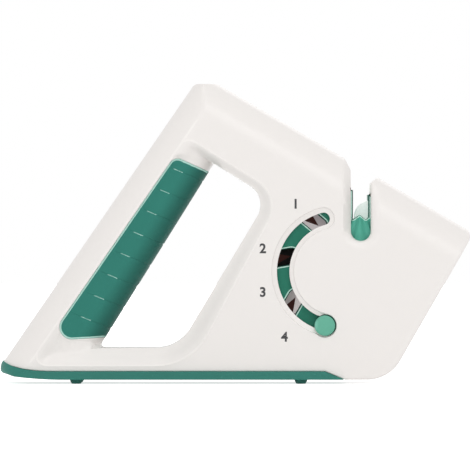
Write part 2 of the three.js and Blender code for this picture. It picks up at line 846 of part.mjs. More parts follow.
// A channel's outline in its station's own frame, x across and z outwards
function channelOutline(grow) {
  const half = channel_half_width + grow;
  const centre = point(channel_offset, channel_bottom + channel_half_width);
  const points = [];
  for (let k = 0; k <= corner_steps; k++) {
    points.push(along(centre, Math.PI + (Math.PI * k) / corner_steps, half));
  }
  const roof = drum_radius + over;
  return [...points, point(channel_offset + half, roof), point(channel_offset - half, roof)];
}

// The scissor station's channel ends in an edge shaped like a flat M
function guideOutline() {
  const half = channel_half_width;
  const roof = drum_radius + over;
  const edge = guide_shares.map(([x, z]) =>
    point(channel_offset + x * half, guide_valley + z * guide_rise),
  );
  return [...edge, point(channel_offset + half, roof), point(channel_offset - half, roof)];
}

function guideBlock() {
  const half = channel_half_width + channel_wall;
  const roof = drum_radius + over;
  const floor = guide_valley - guide_depth;
  return [
    point(channel_offset - half, floor),
    point(channel_offset + half, floor),
    point(channel_offset + half, roof),
    point(channel_offset - half, roof),
  ];
}

// Turns a shape from a station's own frame to its place in the drum
const stationTurned = (geometry, station) => geometry.rotateY(-station * station_pitch);

function drumScrewPlaces() {
  const centre = point(0, 0);
  const outer = drum_radius - drum_rim - drum_boss_radius;
  const inner = well_radius + drum_boss_radius;
  const floor_turn = Math.atan2(channel_offset, channel_bottom + channel_half_width);
  const between = Math.PI / 2 + station_pitch + station_pitch / 2 - floor_turn;
  return [
    along(centre, dial_start + station_pitch, outer),
    along(centre, spring_angle + 2 * station_pitch - station_pitch / 2, outer),
    along(centre, between, inner),
  ];
}

function drumHalf() {
  let half = drumShell();
  const inner = drum_half_width - drum_cheek / 2;
  const core = [
    [0, -drum_half_width],
    [drum_radius - drum_rim / 2, -drum_half_width],
    [drum_radius - drum_rim / 2, -seam_gap / 2],
    [0, -seam_gap / 2],
  ];
  const room = solid(turned(core, drum_sides));
  const plates = plate_thickness + 2 * fit_gap;
  const stations = [...Array(station_count).keys()];
  for (const station of stations) {
    const stop = station === 0 ? stone_half_length + fit_gap : plates;
    const outline = station === 0 ? guideBlock() : channelOutline(channel_wall);
    const walls = solid(stationTurned(across(outline, -inner, -stop), station));
    half = half.add(walls.intersect(room));
  }
  const stone_x = channel_offset + stone_offset;
  const socket_end = drum_cheek + socket_depth - drum_half_width;
  const socket = pin_radius + run_gap + socket_wall;
  half = half.add(solid(barAcross(socket, -inner, socket_end, stone_x, stone_height)));
  for (const { x, y: z } of drumScrewPlaces()) {
    half = half.add(solid(barAcross(drum_boss_radius, -inner, -seam_gap / 2, x, z)));
  }
  for (const station of stations) {
    const outline = station === 0 ? guideOutline() : channelOutline(0);
    half = half.subtract(solid(stationTurned(across(outline, -length, length), station)));
    const angle = spring_angle + station * station_pitch;
    const notch = along(point(0, 0), angle, drum_radius + notch_centre);
    half = half.subtract(solid(barAcross(notch_radius, -length, length, notch.x, notch.y)));
  }
  const pin_start = drum_cheek - drum_half_width;
  const pin_bore = barAcross(pin_radius + run_gap, pin_start, 0, stone_x, stone_height, bore_sides);
  return half.subtract(solid(pin_bore));
}

// The same solid on the other side of the mid-plane
function flipped(shape) {
  const { vertProperties, triVerts } = shape.getMesh();
  for (let i = 1; i < vertProperties.length; i += 3) vertProperties[i] = -vertProperties[i];
  for (let i = 0; i < triVerts.length; i += 3) {
    [triVerts[i], triVerts[i + 1]] = [triVerts[i + 1], triVerts[i]];
  }
  return new wasm.Manifold(new wasm.Mesh({ numProp: 3, vertProperties, triVerts }));
}

function drumNearHalf() {
  let half = drumHalf();
  const { x: knob_x, y: knob_z } = knob_place;
  const peg = barAcross(knob_peg_radius + run_gap, -length, 0, knob_x, knob_z, bore_sides);
  half = half.subtract(solid(peg));
  const tip = drum_screw_seat - drum_screw_length - run_gap;
  for (const { x, y: z } of drumScrewPlaces()) {
    const bore = barAcross(screw_radius + run_gap, tip - over, over, x, z, bore_sides);
    half = half.subtract(solid(bore));
  }
  return half;
}

function drumFarHalf() {
  let half = flipped(drumHalf());
  for (const { x, y: z } of drumScrewPlaces()) {
    const recess = barAcross(drum_head_radius + run_gap, drum_screw_seat, length, x, z);
    const bore = barAcross(screw_radius + run_gap, -over, length, x, z, bore_sides);
    half = half.subtract(solid(recess)).subtract(solid(bore));
  }
  return half;
}

// Knob: a round head in the track, a shank through the curved slot and a peg into the drum
function knobProfile() {
  const face = head_half_width + base_overhang - drum_half_width;
  const track = head_half_width - track_depth - drum_half_width + fit_gap;
  const shank = dial_half_width - knob_offset - fit_gap;
  const profile = [
    [0, -drum_cheek],
    [knob_peg_radius, -drum_cheek],
    [knob_peg_radius, fit_gap],
    [shank, fit_gap],
    [shank, track],
    [knob_radius, track],
  ];
  for (let k = 0; k <= corner_steps; k++) {
    const turn = ((Math.PI / 2) * k) / corner_steps;
    const inset = knob_round * (1 - Math.cos(turn));
    profile.push([knob_radius - inset, face - knob_round * (1 - Math.sin(turn))]);
  }
  profile.push([0, face]);
  return profile;
}

// Leaf spring: a flat strip with a V in its middle that clicks into the drum's notches
function springShape() {
  const line = [
    point(-spring_half_length, 0),
    point(-click_half_width, 0),
    point(0, -click_depth),
    point(click_half_width, 0),
    point(spring_half_length, 0),
  ];
  const outer = line.map((p) => point(p.x, p.y + spring_thickness)).reverse();
  const leaf = across([...line, ...outer], spring_start, spring_start + spring_width);
  return leaf.translate(0, 0, drum_radius + spring_lift);
}

// Finishes
const finish = (color, roughness, metalness = 0) =>
  new THREE.MeshStandardMaterial({ color, roughness, metalness });
const white_plastic = finish(0xeeeae7, 0.45);
const grip_rubber = finish(0x34786c, 0.7);
const base_plastic = finish(0x3b7f73, 0.6);
const drum_plastic = finish(0x437f6c, 0.45);
const knob_plastic = finish(0x66b09a, 0.4);
const steel = finish(0xb8bcc0, 0.3, 0.9);
const carbide = finish(0x9d9696, 0.4, 0.6);
const diamond = finish(0x27262a, 0.6, 0.3);
const grey_ceramic = finish(0x8f8a8a, 0.6);
const white_ceramic = finish(0xf0f0ee, 0.5);

// A named mesh with its own copy of a finish
function piece(name, shape, material) {
  const geometry = shape.isBufferGeometry ? shape : geometryOf(shape);
  const mesh = new THREE.Mesh(geometry, material.clone());
  mesh.name = name;
  return mesh;
}

const sharpener = new THREE.Group();

// Casing, grip and base
const block = casingBlock();
sharpener.add(piece("near_casing", nearCasing(block), white_plastic));
sharpener.add(piece("far_casing", farCasing(block), white_plastic));
sharpener.add(piece("handle_grip", gripSleeve(), grip_rubber));
sharpener.add(piece("base_plate", basePlate(), base_plastic));
footPlaces().forEach(({ x, y }, i) => {
  const foot = piece(`foot_${i + 1}`, turned(footProfile()).rotateX(Math.PI / 2), grip_rubber);
  foot.position.set(x, y, 0);
  sharpener.add(foot);
});
casingScrewPlaces().forEach(({ x, y: z }, i) => {
  const profile = screwProfile(screw_radius, screw_head_radius, screw_head_height, screw_length);
  const screw = piece(`casing_screw_${i + 1}`, turned(profile, bore_sides), steel);
  screw.position.set(x, casing_seat + run_gap, z);
  sharpener.add(screw);
});
baseScrewPlaces().forEach(({ x, y }, i) => {
  const profile = screwProfile(base_screw_radius, base_head_radius, base_head_height, base_screw_length);
  const screw = piece(`base_screw_${i + 1}`, turned(profile, bore_sides), steel);
  screw.rotation.x = -Math.PI / 2;
  screw.position.set(x, y, base_seat - run_gap);
  sharpener.add(screw);
});

// Axle, washers and leaf spring, in a group at the drum's centre
const axle_frame = new THREE.Group();
axle_frame.position.set(drum_x, 0, drum_z);
sharpener.add(axle_frame);
const axle_half = head_half_width - wall / 2 - run_gap;
const axle = new THREE.CylinderGeometry(axle_radius, axle_radius, 2 * axle_half, boss_sides);
axle_frame.add(piece("axle_pin", axle, steel));
for (const [name, side] of [["near_washer", -1], ["far_washer", 1]]) {
  const half = washer_thickness / 2;
  const bore = axle_radius + run_gap;
  const rim = boss_radius - run_gap;
  const profile = [[bore, -half], [rim, -half], [rim, half], [bore, half], [bore, -half]];
  const washer = piece(name, turned(profile), steel);
  washer.position.y = side * (hub_face + run_gap + half);
  axle_frame.add(washer);
}
const spring_frame = new THREE.Group();
spring_frame.rotation.y = Math.PI / 2 - spring_angle;
spring_frame.add(piece("detent_spring", springShape(), steel));
axle_frame.add(spring_frame);

// Drum with its stations and knob
const drum = new THREE.Group();
drum.position.set(drum_x, 0, drum_z);
sharpener.add(drum);
drum.add(piece("drum_near_half", drumNearHalf(), drum_plastic));
drum.add(piece("drum_far_half", drumFarHalf(), drum_plastic));
const knob = piece("selector_knob", turned(knobProfile(), boss_sides).rotateX(Math.PI), knob_plastic);
knob.position.set(knob_place.x, -drum_half_width, knob_place.y);
drum.add(knob);
drumScrewPlaces().forEach(({ x, y: z }, i) => {
  const profile = screwProfile(screw_radius, drum_head_radius, drum_head_height, drum_screw_length);
  const screw = piece(`drum_screw_${i + 1}`, turned(profile, bore_sides), steel);
  screw.position.set(x, drum_screw_seat + run_gap, z);
  drum.add(screw);
});

// Three stations hold two crossed plates each, whose inner edges make the V
const plate_stations = [["finish", grey_ceramic], ["fine", diamond], ["coarse", carbide]];
plate_stations.forEach(([name, material], i) => {
  const station = new THREE.Group();
  station.rotation.y = -(i + 1) * station_pitch;
  drum.add(station);
  for (const [place, side] of [["near", -1], ["far", 1]]) {
    const reach = plate_above + plate_below;
    const plate = new THREE.BoxGeometry(plate_width, plate_thickness, reach);
    plate.translate((side * plate_width) / 2, 0, reach / 2 - plate_below);
    const mesh = piece(`${name}_plate_${place}`, plate, material);
    mesh.rotation.y = side * vee_half_angle;
    mesh.position.set(channel_offset, (side * (plate_thickness + fit_gap)) / 2, vee_height);
    station.add(mesh);
  }
});

// The scissor stone and the pin it is held by
const stone_profile = [
  [stone_bore, -stone_half_length],
  [stone_radius, -stone_half_length],
  [stone_radius, stone_half_length],
  [stone_bore, stone_half_length],
  [stone_bore, -stone_half_length],
];
const stone = piece("scissor_stone", turned(stone_profile, 2 * boss_sides), white_ceramic);
const pin_length = 2 * (drum_half_width - drum_cheek - run_gap);
const pin_shape = new THREE.CylinderGeometry(pin_radius, pin_radius, pin_length, bore_sides);
const pin = piece("stone_pin", pin_shape, steel);
for (const mesh of [stone, pin]) {
  mesh.position.set(channel_offset + stone_offset, 0, stone_height);
  drum.add(mesh);
}

export default sharpener;
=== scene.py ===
import json
import math
from functools import partial

import bmesh
import bpy
import numpy as np
from mathutils import Matrix, Vector
from mathutils.geometry import delaunay_2d_cdt
from mathutils.kdtree import KDTree


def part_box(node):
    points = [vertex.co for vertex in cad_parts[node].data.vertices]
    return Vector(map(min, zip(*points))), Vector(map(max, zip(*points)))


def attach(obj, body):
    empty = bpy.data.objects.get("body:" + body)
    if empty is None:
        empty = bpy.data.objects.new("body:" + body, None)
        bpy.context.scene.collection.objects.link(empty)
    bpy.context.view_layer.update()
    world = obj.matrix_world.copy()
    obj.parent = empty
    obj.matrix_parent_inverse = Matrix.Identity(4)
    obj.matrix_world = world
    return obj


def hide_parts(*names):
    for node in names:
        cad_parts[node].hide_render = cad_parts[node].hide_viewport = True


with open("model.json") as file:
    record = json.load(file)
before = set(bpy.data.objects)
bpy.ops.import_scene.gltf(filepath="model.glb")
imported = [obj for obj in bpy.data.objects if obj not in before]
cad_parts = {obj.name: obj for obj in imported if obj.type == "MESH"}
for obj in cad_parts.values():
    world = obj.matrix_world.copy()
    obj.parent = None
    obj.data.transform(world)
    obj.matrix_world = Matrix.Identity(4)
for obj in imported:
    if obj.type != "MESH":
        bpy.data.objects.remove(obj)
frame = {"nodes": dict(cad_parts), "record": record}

bl_info = {
    "name": "Knife and scissor sharpener",
    "version": (1, 0, 0),
    "blender": (4, 5, 0),
    "location": "View3D > Sidebar > Sharpener",
    "description": "Builds the shells, grip, base, drum and stage of a hand-held sharpener",
    "category": "Add Mesh",
}

# Lengths in this file are millimetres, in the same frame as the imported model.
MM = 0.001
CASING_BODY = "casing"
DRUM_BODY = "drum"
NODES = frame["nodes"]

# One pixel of the photograph in millimetres, and where the object's middle and the floor are in it.
PIXEL = 0.425
MIDDLE_COLUMN = 235.25
FLOOR_ROW = 383.7


def node_box(name):
    """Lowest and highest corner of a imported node, in millimetres."""
    low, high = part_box(name)
    return np.array(low) / MM, np.array(high) / MM


def node_middle(name):
    low, high = node_box(name)
    return (low + high) / 2


def node_span(name):
    """Radius and half width of a node that is turned about a line across the object."""
    low, high = node_box(name)
    return (high[0] - low[0]) / 2, (high[1] - low[1]) / 2


# Sizes and colours a user would change

def length(name, text, value, low, high):
    return bpy.props.FloatProperty(name=name, description=text, default=value, min=low, max=high)


class SharpenerSizes(bpy.types.PropertyGroup):
    """Sizes of the rounded edges and the small forms, in millimetres."""

    ridge_softness: length("Ridge softness", "Width over which the handle's ridge is rounded", 0.8, 0.1, 4)
    ridge_bead: length("Ridge bead", "Height of the beads along the ridges", 0.1, 0, 1)
    edge_round: length("Edge round", "Radius of the shells' edge along the belly and the nose", 1.0, 0.1, 2)
    under_round: length("Under round", "Radius of the shells' edge along the base plate", 0.35, 0.05, 2)
    slot_edge: length("Slot edge", "Radius of the edges of the curved slot", 0.3, 0.05, 1)
    groove_pitch: length("Groove pitch", "Distance between the grooves of the grip", 10.43, 4, 20)
    groove_depth: length("Groove depth", "Depth of the grooves of the grip", 0.24, 0, 1)
    flute_depth: length("Flute depth", "Depth of the flutes under the scissor guide", 1.0, 0, 2)
    numeral_height: length("Numeral height", "Height of the numerals by the curved slot", 4.0, 1, 8)


def colour(name, text, value):
    return bpy.props.FloatVectorProperty(
        name=name, description=text, subtype="COLOR", size=3, min=0, max=1, default=value)


class SharpenerColours(bpy.types.PropertyGroup):
    """Colours of the finishes, as linear values."""

    casing: colour("Casing", "White plastic of the two shells", (0.807, 0.775, 0.75))
    grip: colour("Grip", "Green rubber of the grip", (0.026, 0.192, 0.152))
    # Painted highlight: the pale colour of the line round the grip and of the strokes in its grooves.
    grip_highlight: colour("Grip edge", "Pale edge round the grip", (0.43, 0.7, 0.62))
    base: colour("Base", "Green plastic of the base plate", (0.018, 0.17, 0.133))
    drum: colour("Drum", "Green plastic of the drum", (0.017, 0.19, 0.125))
    # Painted highlight: the paler green laid on the scissor guide where its flutes catch the light.
    guide: colour("Guide", "Paler green of the scissor guide", (0.1, 0.43, 0.325))
    # Painted highlight: the light line just inside the drum's edges.
    drum_edge_highlight: colour("Drum edge", "Light line inside the drum's edges", (0.5, 0.78, 0.68))
    # Painted shade: dark brown for the shells' inner faces round the drum, where shade falls on the white
    # plastic.
    inside: colour("Casing inside", "Dull inner faces of the shells", (0.09, 0.035, 0.03))
    # Painted shade: the dark green of the ring under the knob, standing in for the shadow round it, and of
    # the shade line at the drum's rim.
    collar: colour(
        "Knob collar", "Dark green of the ring under the knob and of the drum's rim", (0.006, 0.06, 0.042))
    knob: colour("Knob", "Mint plastic of the knob", (0.098, 0.385, 0.27))
    # Painted highlight on the left of the knob's face.
    knob_highlight: colour("Knob light", "Lighter part of the knob's face", (0.17, 0.5, 0.38))
    steel: colour("Steel", "Plated steel of pins and screws", (0.55, 0.56, 0.57))
    carbide: colour("Carbide", "Ground plates of the coarse station", (0.66, 0.6, 0.59))
    diamond: colour("Diamond", "Dark plates of the fine station", (0.02, 0.016, 0.015))
    grey_ceramic: colour("Grey ceramic", "Plates of the finish station", (0.7, 0.63, 0.64))
    white_ceramic: colour("White ceramic", "Stone of the scissor station", (0.86, 0.86, 0.85))
    print: colour("Print", "Numerals by the curved slot", (0.035, 0.035, 0.038))


# Points and lines of the side view, x along the object and z up

POINTS_AT_ONCE = 4000


def heading(angle):
    return np.array((math.cos(angle), math.sin(angle)))


def along(start, angle, distance):
    return np.asarray(start, float) + distance * heading(angle)


def cross(a, b):
    return a[0] * b[1] - a[1] * b[0]


def meet(a, angle_a, b, angle_b):
    """Where the line through a at one angle meets the line through b at another."""
    u, v = heading(angle_a), heading(angle_b)
    gap = np.asarray(b, float) - np.asarray(a, float)
    return np.asarray(a, float) + u * (cross(gap, v) / cross(u, v))


def passing_fall(start, centre, distance):
    """Angle below the horizontal of a line from a start that passes over a centre at a distance."""
    gap = centre - start
    return math.atan2(-gap[1], gap[0]) - math.asin(distance / np.linalg.norm(gap))


def rounded(corners, step, least_steps=4):
    """A closed outline from corners (point, radius), with arcs stepped at a spacing."""
    points = []
    count = len(corners)
    for i, (at, radius) in enumerate(corners):
        at = np.asarray(at, float)
        before = np.asarray(corners[i - 1][0], float) - at
        after = np.asarray(corners[(i + 1) % count][0], float) - at
        shorter = min(np.linalg.norm(before), np.linalg.norm(after))
        before, after = before / np.linalg.norm(before), after / np.linalg.norm(after)
        half = math.acos(max(-1, min(1, before @ after))) / 2
        radius = min(radius, shorter / 2 * math.tan(half))
        nearly_straight = half > math.pi / 2 - 0.01
        if radius <= 0 or nearly_straight:
            points.append(at)
            continue
        inward = (before + after) / np.linalg.norm(before + after)
        centre = at + inward * radius / math.sin(half)
        first = at + before * radius / math.tan(half) - centre
        last = at + after * radius / math.tan(half) - centre
        sweep = math.atan2(cross(first, last), first @ last)
        steps = max(least_steps, math.ceil(abs(sweep) * radius / step))
        for k in range(steps + 1):
            turn = sweep * k / steps
            c, s = math.cos(turn), math.sin(turn)
            points.append(centre + (c * first[0] - s * first[1], s * first[0] + c * first[1]))
    return tidy_loop(points)


def tidy_loop(points, least=0.02):
    """The loop without points that repeat the one before."""
    kept = []
    for p in points:
        if not kept or np.linalg.norm(p - kept[-1]) > least:
            kept.append(np.asarray(p, float))
    if np.linalg.norm(kept[0] - kept[-1]) <= least:
        kept.pop()
    return np.array(kept)


def offset_corners(corners, distance):
    """The same corners with every side moved outwards by a distance."""
    moved = []
    count = len(corners)
    for i, (at, radius) in enumerate(corners):
        at = np.asarray(at, float)
        come = at - corners[i - 1][0]
        go = np.asarray(corners[(i + 1) % count][0], float) - at
        a, b = math.atan2(come[1], come[0]), math.atan2(go[1], go[0])
        turn = 1 if cross(come, go) > 0 else -1
        corner = meet(along(at, a - math.pi / 2, distance), a, along(at, b - math.pi / 2, distance), b)
        moved.append((corner, max(radius + turn * distance, radius / 10) if radius > 0 else 0))
    return moved


def divided(points, step, closed=True):
    """The line with its long stretches divided evenly."""
    made = []
    count = len(points)
    for i in range(count if closed else count - 1):
        a, b = points[i], points[(i + 1) % count]
        parts = max(1, math.ceil(np.linalg.norm(b - a) / step))
        made.extend(a + (b - a) * k / parts for k in range(parts))
    if not closed:
        made.append(points[-1])
    return np.array(made)


def distance_to(points, line, closed=True):
    """Distance of each point to a line of many stretches."""
    a = line if closed else line[:-1]
    b = np.roll(line, -1, axis=0) if closed else line[1:]
    d = b - a
    length2 = np.maximum((d ** 2).sum(1), 1e-12)
    best = np.empty(len(points))
    for start in range(0, len(points), POINTS_AT_ONCE):
        p = points[start:start + POINTS_AT_ONCE]
        t = ((p[:, None] - a) * d).sum(2) / length2
        near = a + np.clip(t, 0, 1)[..., None] * d
        best[start:start + POINTS_AT_ONCE] = np.sqrt(((p[:, None] - near) ** 2).sum(2)).min(1)
    return best


def inside(points, loop):
    x, z = points[:, 0], points[:, 1]
    found = np.zeros(len(points), bool)
    for a, b in zip(loop, np.roll(loop, -1, axis=0)):
        if a[1] == b[1]:
            continue
        crosses = (a[1] > z) != (b[1] > z)
        found ^= crosses & (x < (b[0] - a[0]) * (z - a[1]) / (b[1] - a[1]) + a[0])
    return found


def line_distance(points, through, angle):
    """Distance from a line, positive on its right as seen along the angle."""
    n = heading(angle - math.pi / 2)
    return (points - np.asarray(through)) @ n


# Heights and how they blend

def least(a, b, soft):
    """The smaller of two heights, with the crease between them rounded."""
    share = np.maximum(soft - np.abs(a - b), 0) / soft
    return np.minimum(a, b) - share ** 2 * soft / 4


def most(a, b, soft):
    return -least(-a, -b, soft)


def smooth(share):
    t = np.clip(share, 0, 1)
    return t * t * (3 - 2 * t)


def quarter(distance, width, depth):
    """Fall of a rounded edge: depth at distance zero, nothing from the width on."""
    t = np.clip(1 - distance / width, 0, 1)
    return depth * (1 - np.sqrt(np.maximum(1 - t ** 2, 0)))


def swelling(distance, start, gain, span):
    """Height that grows from a start as a quarter round, over a span."""
    t = np.clip(distance / span, 0, 1)
    return start + gain * np.sqrt(1 - (1 - t) ** 2)


def bell(distance, width):
    """One at distance zero, falling away on both sides."""
    return np.exp(-(distance / width) ** 2)


# The main lines of the casing

# Angles of the handle's outer edge, the nose, the finger hole's far side, the pocket's ridge beside
# it, the handle's palm side and the two ends of the grip.
LEAN = math.radians(55.46)
NOSE_LEAN = math.radians(60)
SIDE_LEAN = math.radians(59)
RIM_LEAN = math.radians(61.7)
PALM_LEAN = math.radians(58)
GRIP_TOP = -math.radians(23.9)
GRIP_FOOT = math.radians(3)

# Half thickness and height of the body, height of the feet, thickness of the base plate, levels of
# the shells, and how far the plate stands out past them.
HALF = 23.0
HEIGHT = node_box("near_casing")[1][2]
FOOT = 1.8
PLATE = 3.6
FLOOR = FOOT + PLATE
HEEL_Z = 9.2
HOLE_FLOOR = 15.2
OVERHANG = 1.2

# The base plate's tip curls up by a power of the distance from the curl's start.
TIP_X = node_box("base_plate")[0][0]
CURL = 25.5
CURL_POWER = 3
CURL_SHARES = (0.2, 0.38, 0.6, 0.82, 1.0)

# The drum, its four stations, and the room for it in the shells.
AXLE = node_middle("axle_pin")
DRUM_AT = AXLE[[0, 2]]
DRUM_R = 35.2
STATION_OFF = 9.8
STATION_TURN = 50
CHANNEL_HALF = 3.3
ROOM_R = 36.0
ROOM_HALF = 18.4

# The underside falls by a ramp to the belly under the drum.
RAMP_X = DRUM_AT[0] - 5.4
RAMP = 8.5

# Walls from the drum to the top and the nose, from the top to the finger hole, and the corners' rounds.
TOP_WALL = 8
NOSE_WALL = 6.71
HOLE_WALL = 30.75
HEEL_ROUND = 0.3
BELLY_ROUND = 23.4
NOSE_ROUND = 3.6
APEX_ROUND = 3
APEX_WIDTH = 10.04

HEEL = np.array((TIP_X + OVERHANG, HEEL_Z))
APEX_LEFT = meet(HEEL, LEAN, (0, HEIGHT), 0)
APEX_RIGHT = APEX_LEFT + (APEX_WIDTH, 0)
FALL = passing_fall(APEX_RIGHT, DRUM_AT, DRUM_R + TOP_WALL)
NOSE_SIDE = along(DRUM_AT, NOSE_LEAN - math.pi / 2, DRUM_R + NOSE_WALL)
NOSE = meet(NOSE_SIDE, NOSE_LEAN, APEX_RIGHT, -FALL)
BELLY = meet(NOSE_SIDE, NOSE_LEAN, (0, FOOT), 0)
CURL_RISE = (HEEL[1] - FLOOR) / (1 - OVERHANG / CURL) ** CURL_POWER

# The handle, across: its ridge, the grip's edge and the palm side, from the outer edge.
HANDLE_RIDGE = 9.8
GRIP_EDGE = 10.6
POCKET_EDGE = 12.8
HANDLE = 28.4

# The grip, along the handle, the gap round it and its thickness in a deeper bed.
GRIP_START = 18.5
GRIP_END = 30.2
GRIP_LENGTH = (HEIGHT - HEEL[1]) / math.sin(LEAN) - GRIP_START - GRIP_END
GRIP_REACH = 28.0
GRIP_GAP = 0.12
GRIP_THICK = 2.2
GRIP_BED = 2.5
PALM = along(along(HEEL, LEAN, GRIP_START + GRIP_LENGTH / 2), LEAN - math.pi / 2, HANDLE)

# The finger hole, from the palm side to its far side.
HOLE_WIDTH = 28.4
HOLE_SIDE = along(PALM, SIDE_LEAN - math.pi / 2, HOLE_WIDTH)
HOLE_FALL = FALL + math.radians(1.55)
HOLE_CORNER = meet(HOLE_SIDE, SIDE_LEAN, along(APEX_RIGHT, -math.pi / 2 - FALL, HOLE_WALL), -FALL)
HOLE_FLOOR_ROUND = 17
HOLE_CORNER_ROUND = 9.4

# The pocket's ridge runs outside the finger hole: above it, beside it and below it.
RIDGE_ABOVE = 3.2
RIDGE_BESIDE = 4.5
RIDGE_BELOW = 7.4

# The knife slot, and the width and depth of its lips to the right and to the left.
KNIFE_X = DRUM_AT[0] + STATION_OFF
KNIFE_HALF = 4.2
KNIFE_LOW = DRUM_AT[1] + 13.0
LIP_RIGHT = (3.2, 2.6)
LIP_LEFT = (2.5, 5.1)
BEVEL_END = KNIFE_X - KNIFE_HALF - 3.3

# The curved slot for the knob, and the shallow track round it.
DIAL_R = 23.15
DIAL_HALF = 2.65
DIAL_START = math.radians(256.5)
DIAL_END = math.radians(105)
TRACK_R = DIAL_R + 0.2
TRACK_HALF = 4.75
TRACK_DEEP = 1.0
KNOB = node_middle("selector_knob")
KNOB_AT = KNOB[[0, 2]]
KNOB_ROOM = 5.05

# Half the gaps between the halves of the drum and the casing, and the casing's slanted inner edge.
SEAM = 0.1
SEAM_CLOSED = 0.02
SEAM_EDGE = 0.22

# Recesses of the casing screws.
RECESS_R = 3.1
RECESS_HALF = 6.0

# Spacing of points along outlines, and how near to a line still counts as on it.
LOOP_STEP = 0.5
ON_LINE = 0.005


def top_z(x):
    return NOSE[1] + (NOSE[0] - x) * math.tan(FALL)


def curl_point(share):
    return np.array((TIP_X + share * CURL, FLOOR + CURL_RISE * (1 - share) ** CURL_POWER))


def under_corners():
    corners = [(curl_point(share), 0) for share in CURL_SHARES]
    corners += [((RAMP_X, FLOOR), 0), ((RAMP_X + RAMP, FOOT), 0)]
    return corners + [(BELLY, BELLY_ROUND), (NOSE, NOSE_ROUND)]


def knife_corners():
    """Corners of the knife slot, from the right lip round the bottom to the left lip."""
    right, left = KNIFE_X + KNIFE_HALF, KNIFE_X - KNIFE_HALF
    right_top, left_top = right + LIP_RIGHT[0], left - LIP_LEFT[0]
    return [
        ((right_top, top_z(right_top)), 0.9),
        ((right, top_z(right_top) - LIP_RIGHT[1]), 0.7),
        ((right, KNIFE_LOW), KNIFE_HALF),
        ((left, KNIFE_LOW), KNIFE_HALF),
        ((left, top_z(left_top) - LIP_LEFT[1]), 1.5),
        ((left_top, top_z(left_top)), 1.6),
    ]


def casing_loop():
    corners = [(HEEL, HEEL_ROUND), *under_corners(), *knife_corners()]
    return rounded(corners + [(APEX_RIGHT, APEX_ROUND), (APEX_LEFT, APEX_ROUND)], LOOP_STEP)


def ridge_corners():
    top = along(HOLE_CORNER, math.pi / 2 - HOLE_FALL, RIDGE_ABOVE)
    side = along(HOLE_CORNER, SIDE_LEAN - math.pi / 2, RIDGE_BESIDE)
    left = along(HEEL, LEAN - math.pi / 2, HANDLE_RIDGE)
    floor = (0, HOLE_FLOOR - RIDGE_BELOW)
    return [
        (meet(left, LEAN, floor, 0), 4),
        (meet(floor, 0, side, RIM_LEAN), 24.4),
        (meet(side, RIM_LEAN, top, -HOLE_FALL), 12.6),
        (meet(top, -HOLE_FALL, left, LEAN), 4),
    ]


def hole_corners():
    """Corners of the finger hole as if the handle bar were not there."""
    left = along(HEEL, LEAN - math.pi / 2, POCKET_EDGE)
    floor = (0, HOLE_FLOOR)
    return [
        (meet(left, LEAN, floor, 0), 4),
        (meet(floor, 0, HOLE_CORNER, SIDE_LEAN), HOLE_FLOOR_ROUND),
        (HOLE_CORNER, HOLE_CORNER_ROUND),
        (meet(HOLE_CORNER, -HOLE_FALL, left, LEAN), 4),
    ]


def grip_corners():
    """Corners of the grip, reaching past the palm side."""
    low = along(along(HEEL, LEAN, GRIP_START), LEAN - math.pi / 2, GRIP_EDGE)
    high = along(low, LEAN, GRIP_LENGTH)
    return [
        (low, 5.2),
        (along(low, GRIP_FOOT, GRIP_REACH), 0),
        (along(high, GRIP_TOP, GRIP_REACH), 0),
        (high, 3.8),
    ]


def finger_loop():
    """The finger hole, stepped in under the grip."""
    grow = offset_corners(grip_corners(), GRIP_GAP)
    low, high = grow[0][0], grow[3][0]
    under = along(PALM, PALM_LEAN + math.pi / 2, GRIP_BED)
    return rounded([
        (meet(PALM, PALM_LEAN, (0, HOLE_FLOOR), 0), 1.2),
        (meet((0, HOLE_FLOOR), 0, HOLE_CORNER, SIDE_LEAN), HOLE_FLOOR_ROUND),
        (HOLE_CORNER, HOLE_CORNER_ROUND),
        (meet(HOLE_CORNER, -HOLE_FALL, PALM, PALM_LEAN), 0.5),
        (meet(PALM, PALM_LEAN, high, GRIP_TOP), 0.2),
        (meet(under, PALM_LEAN, high, GRIP_TOP), 0),
        (meet(under, PALM_LEAN, low, GRIP_FOOT), 0),
        (meet(PALM, PALM_LEAN, low, GRIP_FOOT), 0.2),
    ], LOOP_STEP)


def arc_loop(half_width, middle=DIAL_R, least_parts=6):
    """A slot along an arc about the drum's centre, with round ends."""
    def arc(centre, radius, start, end):
        parts = max(least_parts, math.ceil(abs(end - start) * radius / LOOP_STEP))
        return [along(centre, start + (end - start) * k / parts, radius) for k in range(parts)]
    root, tip = along(DRUM_AT, DIAL_START, middle), along(DRUM_AT, DIAL_END, middle)
    points = arc(DRUM_AT, middle - half_width, DIAL_START, DIAL_END)
    points += arc(tip, half_width, DIAL_END + math.pi, DIAL_END + 2 * math.pi)
    points += arc(DRUM_AT, middle + half_width, DIAL_END, DIAL_START)
    points += arc(root, half_width, DIAL_START, DIAL_START + math.pi)
    return tidy_loop(points)[::-1]


def arc_distance(points, middle):
    """Distance to an arc that the curved slot or its track follows."""
    rel = points - DRUM_AT
    angle = np.mod(np.arctan2(rel[:, 1], rel[:, 0]), 2 * math.pi)
    ring = np.abs(np.hypot(*rel.T) - middle)
    ends = [np.hypot(*(points - along(DRUM_AT, a, middle)).T) for a in (DIAL_START, DIAL_END)]
    return np.where((angle > DIAL_END) & (angle < DIAL_START), ring, np.minimum(*ends))


def circle(centre, radius, sides):
    turns = np.arange(sides) * 2 * math.pi / sides
    return np.asarray(centre) + radius * np.stack((np.cos(turns), np.sin(turns)), 1)


def screw_places():
    return [node_middle(f"casing_screw_{i}")[[0, 2]] for i in range(1, 6)]


# Half thickness of the handle bar at its flat palm side, what the round beside it adds, that
# round's width, the slope beyond it, and a low value for where there is no bar.
BAR_FLAT = 6
BAR_RISE = 13.3
BAR_ROUND = 10
BAR_SLOPE = 0.29
NO_BAR = -50


